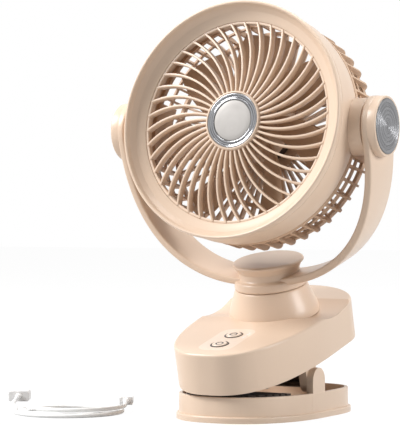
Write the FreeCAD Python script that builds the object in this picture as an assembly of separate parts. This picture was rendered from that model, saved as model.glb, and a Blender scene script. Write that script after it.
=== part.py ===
import FreeCAD, Part
import math
import os
from FreeCAD import Rotation, Vector

# Portable camping fan: a round fan head in a U yoke, on a sprung clamp base with a battery inside,
# and its charging lead lying beside it. Millimetres, +Z up, front towards -Y, origin at the middle
# of the underside of the lower jaw.

# Lower jaw
TRAY_WIDTH = 99.0
TRAY_FRONT = 72.0
TRAY_REAR = 71.0
TRAY_STRAIGHT = 10.0
TRAY_FRONT_POWER = 2.3
TRAY_REAR_POWER = 3.4
TRAY_HEIGHT = 18.0
TRAY_WALL = 2.4
TRAY_FLOOR = 3.6
FLANGE_HEIGHT = 4.4
FLANGE_REACH = 1.8
FOOT_INSET = 7.0
FOOT_DEPTH = 1.4
GRIP_PLATE_LENGTH = 44.0
GRIP_PLATE_TOP = 13.0
GRIP_PLATE_THICK = 2.4
GRIP_PAD_THICK = 2.0
GRIP_PAD_INSET = 3.0
GRIP_RIB_PITCH = 5.0
GRIP_GROOVE_WIDTH = 1.6
GRIP_GROOVE_DEPTH = 1.2
TRAY_TOP_ROUND = 0.8
FLANGE_ROUND = 1.0

# Clamp hinge
HINGE_Y = -4.0
HINGE_Z = 26.0
PIN_RADIUS = 2.5
PIN_COVER = 1.5
EAR_RADIUS = 9.5
EAR_THICK = 5.0
EAR_SETBACK = 0.4
LUG_RADIUS = 8.0
LUG_THICK = 6.0
SPRING_WIRE = 1.8
SPRING_RADIUS = 6.6
SPRING_TURNS = 6
SPRING_PITCH = 2.6
SPOOL_RADIUS = 5.0

# Battery housing, which leans forward with its deck
LEAN_ANGLE = 14.7
DECK_FOOT_Y = 21.1
DECK_FOOT_Z = 74.9
HOUSING_WIDTH = 99.0
HOUSING_FRONT = 107.0
HOUSING_REAR = 63.0
HOUSING_STRAIGHT = 20.0
HOUSING_FRONT_POWER = 2.6
HOUSING_REAR_POWER = 1.9
HOUSING_DEPTH = 29.5
HOUSING_WALL = 2.6
EDGE_ROUND = 2.0
SCOOP_FRONT = 22.0
SCOOP_REAR = 28.0
SCOOP_DEPTH = 4.0
COVER_THICK = 2.4
CELL_DIAMETER = 18.4
CELL_LENGTH = 65.0
CELL_PLACES = (42.5, 22.6, -24.0)
SCREW_FRONT_PLACE = (36.0, -62.0)
SCREW_REAR_PLACE = (38.0, 28.0)
SCREW_RADIUS = 1.5
SCREW_HEAD_RADIUS = 2.8
SCREW_HEAD_THICK = 1.2
SCREW_SLOT = (4.0, 0.8, 0.5)
SCREW_REACH = 7.0
SCREW_BORE_SPARE = 1.0
SCREW_POST_WALL = 1.8
CEILING_STEP = 3.0
UPPER_PAD_SETBACK = 8.0
UPPER_PAD_LENGTH = 30.0
CELL_TERMINAL = (3.0, 1.0)
CELL_SEAT = 0.4
CRADLE_INSET = 6.0
CRADLE_HEIGHT = 3.4
CRADLE_FIT = 0.1

# Charging socket in the rear wall of the housing
SOCKET_HEIGHT = -17.0
SOCKET_WIDTH = 9.2
SOCKET_THICK = 3.4
SOCKET_WALL = 0.4
SOCKET_FIT = 0.1
SOCKET_RECESS = 0.6
SOCKET_LENGTH = 9.3
SOCKET_BASE = 0.3
SOCKET_BASE_SETBACK = 0.5
SOCKET_TONGUE = (6.4, 0.6, 1.4)
CHARGE_BOARD = (16.0, 9.0, 1.6)
CHARGE_BOARD_SETBACK = 1.2
CHARGE_FOOT_RADIUS = 1.6
CHARGE_FOOT_SIDE = 6.0

# Control panel
PANEL_HALF_WIDTH = 13.4
PANEL_FRONT = 97.0
PANEL_REAR = 49.0
PANEL_THICK = 1.0
PANEL_CORNER = 9.0
BUTTON_RADIUS = 5.4
BUTTON_PROUD = 0.9
BUTTON_TRAVEL = 0.8
BUTTON_ROUND = 0.5
BUTTON_SKIRT = 1.0
BUTTON_STEM_RADIUS = 1.5
BUTTON_SEAT_GAP = 0.1
TRIM_WIDTH = 1.1
TRIM_PROUD = 0.3
SPEED_BUTTON_PLACE = 84.0
MODE_BUTTON_PLACE = 63.0
LED_COUNT = 4
LED_PITCH = 3.4
LED_RADIUS = 0.8
LED_SIDE = 10.0
LED_PROUD = 0.1
LED_FOOT = 0.8
SWITCH_WIDTH = 6.0
SWITCH_BODY = 1.8
SWITCH_HEIGHT = 2.6
SWITCH_PLUNGER = 1.6
BOARD_TOP = -8.6
BOARD_THICK = 1.6
BOARD_HALF_WIDTH = 22.0
BOARD_FRONT_INSET = 2.0
BOARD_REAR_INSET = 3.5
STANDOFF_RADIUS = 2.5
STANDOFF_INSET = 9.0
STANDOFF_SIDE = 18.0

# Neck and swivel, with heights above the deck
COLLAR_TOP = 18.1
COLLAR_TOP_RADIUS = 26.7
COLLAR_FOOT_RADIUS = 32.7
SEAM = 0.4
NECK_WAIST_RADIUS = 22.3
SLEEVE_FOOT_RADIUS = 23.4
SPINDLE_WALL = 2.5
SPINDLE_FLANGE = 3.0
NUT_THICK = 3.0
NUT_BELOW = 8.5
SPINDLE_BELOW = 4.0
NECK_SPLIT_BELOW = 10.0
NECK_HOLLOW = 7.5
COLLAR_WALL = 3.0
COLLAR_SINK = 2.0
COLLAR_BORE_WALL = 4.0
FLANGE_TOP = 37.5
FLANGE_RADIUS = 26.2
SPINDLE_RADIUS = 8.0
NUT_RADIUS = 12.0

# Fan head, with depths measured forward from the pivot axis
TILT_ANGLE = 25.2
RIM_RADIUS = 85.9
RIM_FRONT = 35.7
DRUM_REAR = 2.0
DRUM_REAR_RADIUS = RIM_RADIUS - 1.7
DRUM_WALL = 2.2
BEZEL_SIDE = ((0.9, 10.0), (0.7, 19.0), (0.5, 27.0), (0.2, 31.5))
BEZEL_LIP = ((0.0, 2.4), (0.4, 0.6), (1.3, 0.0), (2.3, 0.5), (3.4, 3.6), (6.5, 7.2))
BEZEL_STEP = (3.0, 1.2)
BEZEL_WEB = 4.5
BEZEL_WEB_SLOPE = (3.0, 4.0)
GRILLE_RADIUS = RIM_RADIUS - 12.9
GRILLE_EDGE_FRONT = 25.5
GRILLE_HUB_FRONT = 28.8
GRILLE_RIM_WIDTH = 2.0
GRILLE_RIM_SETBACK = 0.4
GRILLE_BAR_DEPTH = 5.0
GRILLE_BAR_THICK = 1.3
GRILLE_BARS = 42
GRILLE_SWEEP = 17.0
HUB_RADIUS = 21.5
HUB_BACK = 5.4
HUB_LIP = ((0.0, 0.6), (0.8, 1.2))
TRIM_FLOOR = 1.0
CHROME_RADIUS = 19.7
CHROME_OUTER = ((0.0, 1.0), (1.0, 1.5), (1.9, 0.8))
CHROME_INNER = ((1.9, 0.8), (1.0, 1.2), (0.0, 0.9))
CENTRE_DISC_RADIUS = 14.8
CENTRE_DISC_CROWN = ((0.0, 0.2), (4.0, 0.6))
CENTRE_DISC_TOP = 0.8
CAGE_REAR = 34.0
CAGE_RADIUS = RIM_RADIUS - 2.1
CAGE_CORNER = 10.0
CAGE_FINS = 48
CAGE_FIN_THICK = 1.6
CAGE_FIN_DEPTH = 4.4
CAGE_PLATE_DEPTH = 4.4
CAGE_PLATE_PROUD = 2.0
CAGE_RING_RADIUS = 50.5
CAGE_RING_WIDTH = 3.0
CAGE_HUB_RADIUS = 25.0
BOSS_RADIUS = 20.0
MOTOR_RADIUS = 17.0
MOTOR_FRONT = -6.0
MOTOR_WALL = 1.2
MOTOR_PLATE = 3.0
WINDING_BORE = 10.2
WINDING_INSET = 5.0
ROTOR_RADIUS = 9.4
ROTOR_INSET = 5.5
SHAFT_RADIUS = 1.5
SHAFT_FRONT = 12.0
SHAFT_END_GAP = 0.6
BEARING_RADIUS = 4.5
BEARING_FIT = 0.02
MOTOR_SCREW_RADIUS = 2.6
MOTOR_SCREW_THICK = 1.4
MOTOR_SCREW_PLACE = 12.0
BLADES = 7
BLADE_TIP = GRILLE_RADIUS - 4.0
BLADE_SINK = 1.2
BLADE_MIDDLE = 44.0
BLADE_SHAPE = ((20.0, 48.0, -6.0), (33.0, 38.0, 0.0), (42.0, 28.0, 12.0))
BLADE_REAR = 13.5
BLADE_THICK = 1.8
IMPELLER_HUB_RADIUS = 21.5
IMPELLER_FRONT = 11.0
IMPELLER_REAR = -14.0
IMPELLER_CHAMFER = 3.0
IMPELLER_WALL = 2.0
IMPELLER_BOSS = (6.0, -3.0)
IMPELLER_NUT = (3.4, 2.0)

# Yoke
YOKE_SIDE_ROOM = 14.6
YOKE_LOWER_ROOM = 26.6
YOKE_HALF_WIDTH = RIM_RADIUS + YOKE_SIDE_ROOM
YOKE_DROP = RIM_RADIUS + YOKE_LOWER_ROOM
YOKE_SEAT = 21.5
PIVOT_HEIGHT = YOKE_DROP + YOKE_SEAT
YOKE_TAPER_END = 12.0
YOKE_SQUARENESS = 2.45
YOKE_THICK = 5.2
YOKE_END_RADIUS = 21.4
YOKE_WAIST = 15.5
CAP_RADIUS = 21.2
CAP_PROUD = 5.6
CAP_ROOT = 2.0
DISC_RADIUS = 19.3
DISC_THICK = 1.2
DISC_GROOVES = 6
DISC_SEAT = 0.8
GROOVE_WIDTH = 0.7
GROOVE_DEPTH = 0.3
CAP_EDGE_ROUND = 1.0
PIVOT_BOLT_RADIUS = 3.0
BOLT_REACH = 11.0
BOLT_HEAD_RADIUS = 5.4
BOLT_HEAD_THICK = 2.8
WASHER_THICK = 0.7
WASHER_INSET = 4.0

# Charging lead, laid on the table at the left of the fan
CORD_DIAMETER = 3.0
COIL_PLACE = Vector(-124.0, -61.0, 0.0)
COIL_TURN = 29.7
COIL_RADIUS = 40.0
COIL_PITCH = 3.6
COIL_LOOPS = 3
LAYER_RISE = 3.6
PLUG_A_BODY = (16.0, 17.5, 8.0)
PLUG_A_METAL = (12.0, 12.0, 4.5)
PLUG_C_BODY = (10.4, 16.0, 6.0)
PLUG_C_METAL = (8.3, 6.6, 2.5)
RELIEF_LENGTH = 8.0
RELIEF_WALL = (0.4, 1.0)
PLUG_WALL = 0.35
PLUG_ROUND = 0.22
PLUG_TONGUE_GAP = 0.4
PLUG_TONGUE_THICK = 0.8
PLUG_TONGUE_SETBACK = 0.6

# Clearances
RUNNING_FIT = 0.05
SOFT_GAP = 0.3
SLIDE_FIT = 0.3

X_AXIS = Vector(1, 0, 0)
Y_AXIS = Vector(0, 1, 0)
Z_AXIS = Vector(0, 0, 1)
ORIGIN = Vector(0, 0, 0)
BOW_STEPS = 24

os.makedirs("parts", exist_ok=True)


# Helpers
def save(name, *shapes):
    """Write one sub-part, a solid or a group of separate solids."""
    shape = shapes[0] if len(shapes) == 1 else Part.makeCompound(list(shapes))
    shape.exportStep(f"parts/{name}.step")
    print(name, "solids", len(shape.Solids), "volume", round(shape.Volume, 2), "valid", shape.isValid())


def placed(shape, turn, place):
    """A copy turned about X by turn degrees and then moved to place."""
    moved = shape.copy()
    moved.rotate(ORIGIN, X_AXIS, turn)
    moved.translate(place)
    return moved


DECK_FOOT = Vector(0, DECK_FOOT_Y, DECK_FOOT_Z)
PIVOT = DECK_FOOT + Rotation(X_AXIS, LEAN_ANGLE).multVec(Vector(0, 0, PIVOT_HEIGHT))


def on_deck(shape):
    """From deck coordinates (back is +Y, up is square to the deck) to the part's own frame."""
    return placed(shape, LEAN_ANGLE, DECK_FOOT)


def on_head(shape):
    """From head coordinates (axis along Y, front is -Y) to the part's own frame."""
    return placed(shape, LEAN_ANGLE - TILT_ANGLE, PIVOT)


def on_yoke(shape):
    """From yoke coordinates (origin on the pivot axis, Z up the neck) to the part's own frame."""
    return placed(shape, LEAN_ANGLE, PIVOT)


def cylinder(radius, start, end, axis=Z_AXIS, centre=ORIGIN):
    """A cylinder between two distances along an axis through centre."""
    return Part.makeCylinder(radius, end - start, centre + axis * start, axis)


def tube(outer, inner, start, end, axis=Z_AXIS, centre=ORIGIN):
    """A plain tube."""
    return cylinder(outer, start, end, axis, centre).cut(cylinder(inner, start - 1, end + 1, axis, centre))


def block(x0, x1, y0, y1, z0, z1):
    """A box between two corners."""
    return Part.makeBox(x1 - x0, y1 - y0, z1 - z0, Vector(x0, y0, z0))


def turned(profile):
    """A solid of revolution about Z from (radius, height) points."""
    points = [Vector(r, 0, z) for r, z in profile]
    face = Part.Face(Part.makePolygon(points + points[:1]))
    return face.revolve(ORIGIN, Z_AXIS, 360)


def spun(profile):
    """A solid of revolution about the fan's axis from (radius, forward depth) points."""
    points = [Vector(r, -depth, 0) for r, depth in profile]
    face = Part.Face(Part.makePolygon(points + points[:1]))
    return face.revolve(ORIGIN, Y_AXIS, 360)


def oblong(half_width, front, rear, radius, bottom, top):
    """A block with round corners: front and rear are its reach towards -Y and +Y."""
    side = min(radius, half_width - 0.5)
    diagonal = side * (1 - math.sqrt(0.5))
    edges = []
    for sign_x, sign_y, reach in ((1, -1, front), (-1, 1, rear)):
        a = Vector(sign_x * half_width, sign_y * (reach - side), 0)
        b = Vector(sign_x * (half_width - diagonal), sign_y * (reach - diagonal), 0)
        c = Vector(sign_x * (half_width - side), sign_y * reach, 0)
        d = Vector(-c.x, c.y, 0)
        e = Vector(-b.x, b.y, 0)
        f = Vector(-a.x, a.y, 0)
        other = rear if sign_y < 0 else front
        g = Vector(-a.x, -sign_y * (other - side), 0)
        edges += [Part.Arc(a, b, c).toShape(), Part.LineSegment(c, d).toShape(),
                  Part.Arc(d, e, f).toShape(), Part.LineSegment(f, g).toShape()]
    face = Part.Face(Part.Wire(edges))
    face.translate(Vector(0, 0, bottom))
    return face.extrude(Vector(0, 0, top - bottom))


def bow(half_width, start, reach, power):
    """Half of a squared ellipse from +X to -X, standing at Y = start and bowed by reach along Y."""
    points = []
    for step in range(BOW_STEPS + 1):
        angle = math.pi * step / BOW_STEPS
        across = math.copysign(abs(math.cos(angle)) ** (2 / power), math.cos(angle))
        along = abs(math.sin(angle)) ** (2 / power) if 0 < step < BOW_STEPS else 0.0
        points.append(Vector(half_width * across, start + reach * along, 0))
    way = Vector(0, math.copysign(1, reach), 0)
    curve = Part.BSplineCurve()
    curve.interpolate(points, InitialTangent=way, FinalTangent=way * -1)
    return curve.toShape()


def bowed(half_width, front, rear, straight, front_power, rear_power, bottom, top):
    """A block with a bowed front and rear; its sides are straight from Y = 0 back to straight."""
    edges = [bow(half_width, 0.0, -front, front_power), bow(half_width, straight, rear - straight, rear_power)]
    for x in (-half_width, half_width):
        edges.append(Part.LineSegment(Vector(x, 0, 0), Vector(x, straight, 0)).toShape())
    face = Part.Face(Part.Wire(Part.__sortEdges__(edges)))
    face.translate(Vector(0, 0, bottom))
    return face.extrude(Vector(0, 0, top - bottom))


def edges_at(shape, height):
    """The edges of a shape that lie whole at one height."""
    return [e for e in shape.Edges if all(abs(v.Z - height) < 1e-4 for v in e.Vertexes)]


def mirrored(shape):
    """The same piece on the -X side."""
    return shape.mirror(ORIGIN, X_AXIS)


def biarc(start, start_way, end, end_way):
    """Two arcs that leave start and reach end in the given unit directions."""
    chord = end - start
    both = start_way + end_way
    spread = 2 * (1 - start_way.dot(end_way))
    reach = chord.dot(both)
    d = (-reach + math.sqrt(reach * reach + spread * chord.dot(chord))) / spread
    middle = (start + end + (start_way - end_way) * d) * 0.5
    edges = []
    for near, far, way in ((start, middle, start_way), (end, middle, end_way * -1)):
        span = far - near
        along = Vector(span).normalize()
        cosine = max(-1.0, min(1.0, way.dot(along)))
        bulge = (way - along * cosine).normalize() * (span.Length / 2 * math.tan(math.acos(cosine) / 2))
        edges.append(Part.Arc(near, near + span * 0.5 + bulge, far).toShape())
    return edges


def piped(edges, radius, start, way):
    """A round wire or cord along joined edges, from start in the unit direction way."""
    ring = Part.Wire(Part.makeCircle(radius, start, way))
    return Part.Wire(edges).makePipeShell([ring], True, False)


def cord_run(name, points):
    """A stretch of cord: straight runs joined by tangent arcs."""
    edges = []
    at = points[0]
    radii = []
    for before, corner, after in zip(points, points[1:], points[2:]):
        way_in = (corner - before).normalize()
        way_out = (after - corner).normalize()
        half_turn = way_in.getAngle(way_out) / 2
        reach = 0.45 * min((corner - before).Length, (after - corner).Length)
        radii.append(round(reach / math.tan(half_turn), 1))
        first = corner - way_in * reach
        last = corner + way_out * reach
        radius = reach / math.tan(half_turn)
        inward = (way_out - way_in).normalize()
        middle = corner + inward * (radius / math.cos(half_turn) - radius)
        edges.append(Part.LineSegment(at, first).toShape())
        edges.append(Part.Arc(first, middle, last).toShape())
        at = last
    edges.append(Part.LineSegment(at, points[-1]).toShape())
    length = sum(edge.Length for edge in edges)
    solid = piped(edges, CORD_DIAMETER / 2, points[0], (points[1] - points[0]).normalize())
    section = math.pi * CORD_DIAMETER ** 2 / 4
    print(name, "arc radii", radii, "length", round(length, 1),
          "volume over section times length", round(solid.Volume / (section * length), 4))
    return solid, length


# Lower jaw
def tray_block(inset, bottom, top):
    """The plan of the lower jaw, drawn in by inset."""
    return bowed(TRAY_WIDTH / 2 - inset, TRAY_FRONT - inset, TRAY_REAR - inset, TRAY_STRAIGHT,
                 TRAY_FRONT_POWER, TRAY_REAR_POWER, bottom, top)


HINGE = Vector(0, HINGE_Y, HINGE_Z)
EAR_OUTER = TRAY_WIDTH / 2 - EAR_SETBACK
EAR_INNER = EAR_OUTER - EAR_THICK


def build_lower_jaw():
    tray = tray_block(0, 0, TRAY_HEIGHT)
    tray = tray.makeFillet(TRAY_TOP_ROUND, edges_at(tray, TRAY_HEIGHT))
    flange = tray_block(-FLANGE_REACH, 0, FLANGE_HEIGHT)
    flange = flange.makeFillet(FLANGE_ROUND, edges_at(flange, FLANGE_HEIGHT))
    tray = tray.fuse(flange)
    ear = cylinder(EAR_RADIUS, EAR_INNER, EAR_OUTER, X_AXIS, HINGE)
    root = block(EAR_INNER, EAR_OUTER, HINGE_Y - EAR_RADIUS, HINGE_Y + EAR_RADIUS, TRAY_FLOOR, HINGE_Z)
    tray = tray.cut(tray_block(TRAY_WALL, TRAY_FLOOR, TRAY_HEIGHT + 1))
    for side in (ear.fuse(root), mirrored(ear.fuse(root))):
        tray = tray.fuse(side)
    tray = tray.cut(tray_block(FOOT_INSET, -1, FOOT_DEPTH))
    pin = cylinder(PIN_RADIUS, -EAR_OUTER, EAR_OUTER - PIN_COVER, X_AXIS, HINGE)
    tray = tray.cut(pin)
    plate_rear = -TRAY_FRONT + GRIP_PLATE_LENGTH
    front_room = block(-TRAY_WIDTH, TRAY_WIDTH, -2 * TRAY_FRONT, plate_rear, TRAY_FLOOR, GRIP_PLATE_TOP)
    plate = tray_block(TRAY_WALL, TRAY_FLOOR, GRIP_PLATE_TOP).common(front_room)
    hollow = tray_block(TRAY_WALL + GRIP_PLATE_THICK, TRAY_FLOOR - 1, GRIP_PLATE_TOP - GRIP_PLATE_THICK)
    plate = plate.cut(hollow.common(block(-TRAY_WIDTH, TRAY_WIDTH, -2 * TRAY_FRONT,
                                          plate_rear - GRIP_PLATE_THICK, 0, GRIP_PLATE_TOP)))
    pad_top = jaw_gap_height(GRIP_PAD_FRONT) - SOFT_GAP
    pad_rear = plate_rear - GRIP_PAD_INSET
    pad = tray_block(TRAY_WALL + GRIP_PAD_INSET, GRIP_PLATE_TOP, pad_top)
    pad = pad.common(block(-TRAY_WIDTH, TRAY_WIDTH, -2 * TRAY_FRONT, pad_rear, 0, 2 * pad_top))
    groove_y = -TRAY_FRONT + TRAY_WALL + GRIP_PAD_INSET + GRIP_RIB_PITCH
    while groove_y < pad_rear - GRIP_RIB_PITCH:
        pad = pad.cut(block(-TRAY_WIDTH, TRAY_WIDTH, groove_y, groove_y + GRIP_GROOVE_WIDTH,
                            pad_top - GRIP_GROOVE_DEPTH, pad_top + 1))
        groove_y += GRIP_RIB_PITCH
    save("lower_jaw_tray", tray)
    save("lower_grip_plate", plate)
    save("lower_grip_pad", pad)
    save("foot_pad", tray_block(FOOT_INSET, 0, FOOT_DEPTH))
    save("hinge_pin", pin)


LUG_OUTER = EAR_INNER - SLIDE_FIT
LUG_INNER = LUG_OUTER - LUG_THICK


def housing_underside(y):
    """Height above the table of the leaning housing's underside."""
    lean = math.radians(LEAN_ANGLE)
    return DECK_FOOT_Z + (y - DECK_FOOT_Y) * math.tan(lean) - HOUSING_DEPTH / math.cos(lean)


def build_hinge_parts():
    reach = LUG_INNER - SLIDE_FIT
    save("spring_spool", tube(SPOOL_RADIUS, PIN_RADIUS, -reach, reach, X_AXIS, HINGE))
    half = SPRING_TURNS * SPRING_PITCH / 2
    quarters = SPRING_TURNS * 4
    slope = SPRING_PITCH / (2 * math.pi * SPRING_RADIUS)
    stretch = math.sqrt(1 + slope * slope)
    stations = []
    for step in range(quarters + 1):
        angle = step * math.pi / 2
        place = HINGE + Vector(-half + SPRING_PITCH * step / 4,
                               SPRING_RADIUS * math.cos(angle), SPRING_RADIUS * math.sin(angle))
        way = Vector(slope, -math.sin(angle), math.cos(angle)) * (1 / stretch)
        stations.append((place, way))
    edges = []
    for (a, way_a), (b, way_b) in zip(stations, stations[1:]):
        edges += biarc(a, way_a, b, way_b)
    first, first_way = stations[0]
    last, last_way = stations[-1]
    lower_leg = HINGE_Z - TRAY_FLOOR - SOFT_GAP
    upper_leg = housing_underside(last.y) - HINGE_Z - SPRING_WIRE
    start = first - first_way * lower_leg
    edges.insert(0, Part.LineSegment(start, first).toShape())
    edges.append(Part.LineSegment(last, last + last_way * upper_leg).toShape())
    print("clamp_spring least gap between turns", round(SPRING_PITCH - SPRING_WIRE, 2))
    save("clamp_spring", piped(edges, SPRING_WIRE / 2, start, first_way))


# Battery housing, in deck coordinates
def housing_block(inset, bottom, top):
    """The plan of the battery housing, drawn in by inset."""
    return bowed(HOUSING_WIDTH / 2 - inset, HOUSING_FRONT - inset, HOUSING_REAR - inset, HOUSING_STRAIGHT,
                 HOUSING_FRONT_POWER, HOUSING_REAR_POWER, bottom, top)


def scoop():
    """The hollow across the deck behind the neck, as a cylinder on its side."""
    chord = (SCOOP_FRONT + SCOOP_REAR) / 2
    radius = (chord * chord + SCOOP_DEPTH * SCOOP_DEPTH) / (2 * SCOOP_DEPTH)
    middle = Vector(0, (SCOOP_REAR - SCOOP_FRONT) / 2, radius - SCOOP_DEPTH)
    return cylinder(radius, -HOUSING_WIDTH, HOUSING_WIDTH, X_AXIS, middle)


def jaw_gap_height(front):
    """Height above the table of the upper grip pad's face at a distance along the deck."""
    lean = math.radians(LEAN_ANGLE)
    depth = HOUSING_DEPTH + GRIP_PAD_THICK
    return DECK_FOOT_Z - front * math.sin(lean) - depth * math.cos(lean)


GRIP_PAD_FRONT = HOUSING_FRONT - UPPER_PAD_SETBACK
CAVITY_REAR_TOP = -SCOOP_DEPTH - HOUSING_WALL
COVER_TOP = -HOUSING_DEPTH + COVER_THICK


def panel_cut(grow, bottom, top):
    """The outline of the control panel."""
    middle = (PANEL_FRONT + PANEL_REAR) / 2
    half = (PANEL_FRONT - PANEL_REAR) / 2 + grow
    panel = oblong(PANEL_HALF_WIDTH + grow, half, half, PANEL_CORNER, bottom, top)
    panel.translate(Vector(0, -middle, 0))
    return panel


def button_places():
    return {"speed_button": Vector(0, -SPEED_BUTTON_PLACE, 0), "mode_button": Vector(0, -MODE_BUTTON_PLACE, 0)}


def led_places():
    """The battery lights stand in a row beside the rear button."""
    start = -MODE_BUTTON_PLACE - LED_PITCH * (LED_COUNT - 1) / 2
    return [Vector(LED_SIDE, start + LED_PITCH * i, 0) for i in range(LED_COUNT)]


def cover_screw_places():
    return [Vector(side * x, y, 0) for side in (-1, 1) for x, y in (SCREW_FRONT_PLACE, SCREW_REAR_PLACE)]


SOCKET_BACK = HOUSING_REAR - SOCKET_RECESS
SOCKET_BOTTOM = SOCKET_HEIGHT - SOCKET_THICK / 2
SOCKET_TOP = SOCKET_HEIGHT + SOCKET_THICK / 2


def socket_block(grow, front, rear):
    """The mouth of the charging socket, grown on its four sides."""
    half = SOCKET_WIDTH / 2 + grow
    return block(-half, half, front, rear, SOCKET_BOTTOM - grow, SOCKET_TOP + grow)


def build_housing():
    shell = housing_block(0, -HOUSING_DEPTH, 0).cut(scoop())
    top_edges = [e for e in shell.Edges if min(v.Z for v in e.Vertexes) > -EDGE_ROUND / 4
                 and not -SCOOP_FRONT - 1 < e.CenterOfMass.y < SCOOP_REAR + 1]
    shell = shell.makeFillet(EDGE_ROUND, top_edges)
    shell = shell.cut(housing_block(HOUSING_WALL, -HOUSING_DEPTH - 1, CAVITY_REAR_TOP))
    front_room = block(-HOUSING_WIDTH, HOUSING_WIDTH, -HOUSING_FRONT, -SCOOP_FRONT - CEILING_STEP,
                       CAVITY_REAR_TOP - 1,
                       -HOUSING_WALL)
    shell = shell.cut(housing_block(HOUSING_WALL, CAVITY_REAR_TOP - 1, -HOUSING_WALL).common(front_room))
    shell = shell.cut(panel_cut(0, -PANEL_THICK, 1))
    for place in button_places().values():
        shell = shell.cut(cylinder(BUTTON_RADIUS + SLIDE_FIT, -HOUSING_WALL - 1, 1, centre=place))
    for place in led_places():
        shell = shell.cut(cylinder(LED_RADIUS, -HOUSING_WALL - 1, 1, centre=place))
    shell = shell.cut(cylinder(SPINDLE_RADIUS, -HOUSING_DEPTH / 2, 1))
    shell = shell.cut(socket_block(SOCKET_FIT, HOUSING_REAR - HOUSING_WALL - 1, HOUSING_REAR + 1))

    cover = housing_block(HOUSING_WALL, -HOUSING_DEPTH, COVER_TOP)
    hinge = Rotation(X_AXIS, -LEAN_ANGLE).multVec(HINGE - DECK_FOOT)
    for inner, outer in ((LUG_INNER, LUG_OUTER), (-LUG_OUTER, -LUG_INNER)):
        lug = cylinder(LUG_RADIUS, inner, outer, X_AXIS, hinge)
        root = block(inner, outer, hinge.y - LUG_RADIUS, hinge.y + LUG_RADIUS, hinge.z, -HOUSING_DEPTH)
        cover = cover.fuse(lug).fuse(root)
    cover = cover.cut(cylinder(PIN_RADIUS + RUNNING_FIT, -HOUSING_WIDTH, HOUSING_WIDTH, X_AXIS, hinge))
    for place in cover_screw_places():
        cover = cover.cut(cylinder(SCREW_RADIUS, -HOUSING_DEPTH - 1, COVER_TOP + 1, centre=place))
        cover = cover.cut(cylinder(SCREW_HEAD_RADIUS, -HOUSING_DEPTH - 1, -HOUSING_DEPTH + SCREW_HEAD_THICK,
                                   centre=place))
    posts = []
    for place in cover_screw_places():
        ceiling = -HOUSING_WALL if place.y < -SCOOP_FRONT - CEILING_STEP else CAVITY_REAR_TOP
        post = cylinder(SCREW_RADIUS + SCREW_POST_WALL, COVER_TOP, ceiling, centre=place)
        posts.append(post.cut(cylinder(SCREW_RADIUS, COVER_TOP - 1, COVER_TOP + SCREW_REACH + SCREW_BORE_SPARE,
                                       centre=place)))
    for post in posts:
        shell = shell.fuse(post)
    screws = []
    for place in cover_screw_places():
        length, width, depth = SCREW_SLOT
        head = cylinder(SCREW_HEAD_RADIUS, -HOUSING_DEPTH, -HOUSING_DEPTH + SCREW_HEAD_THICK, centre=place)
        slot = block(-length / 2, length / 2, -width / 2, width / 2, -depth, depth)
        head = head.cut(slot.translated(place + Vector(0, 0, -HOUSING_DEPTH)))
        screws.append(head.fuse(cylinder(SCREW_RADIUS, -HOUSING_DEPTH, COVER_TOP + SCREW_REACH, centre=place)))
    pad = housing_block(HOUSING_WALL + GRIP_PAD_INSET, -HOUSING_DEPTH - GRIP_PAD_THICK, -HOUSING_DEPTH)
    pad = pad.common(block(-HOUSING_WIDTH, HOUSING_WIDTH, -GRIP_PAD_FRONT,
                           -GRIP_PAD_FRONT + UPPER_PAD_LENGTH, -HOUSING_DEPTH - GRIP_PAD_THICK, 0))
    save("housing_shell", on_deck(shell))
    save("housing_cover", on_deck(cover))
    save("cover_screws", *[on_deck(screw) for screw in screws])
    save("upper_grip_pad", on_deck(pad))


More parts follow.
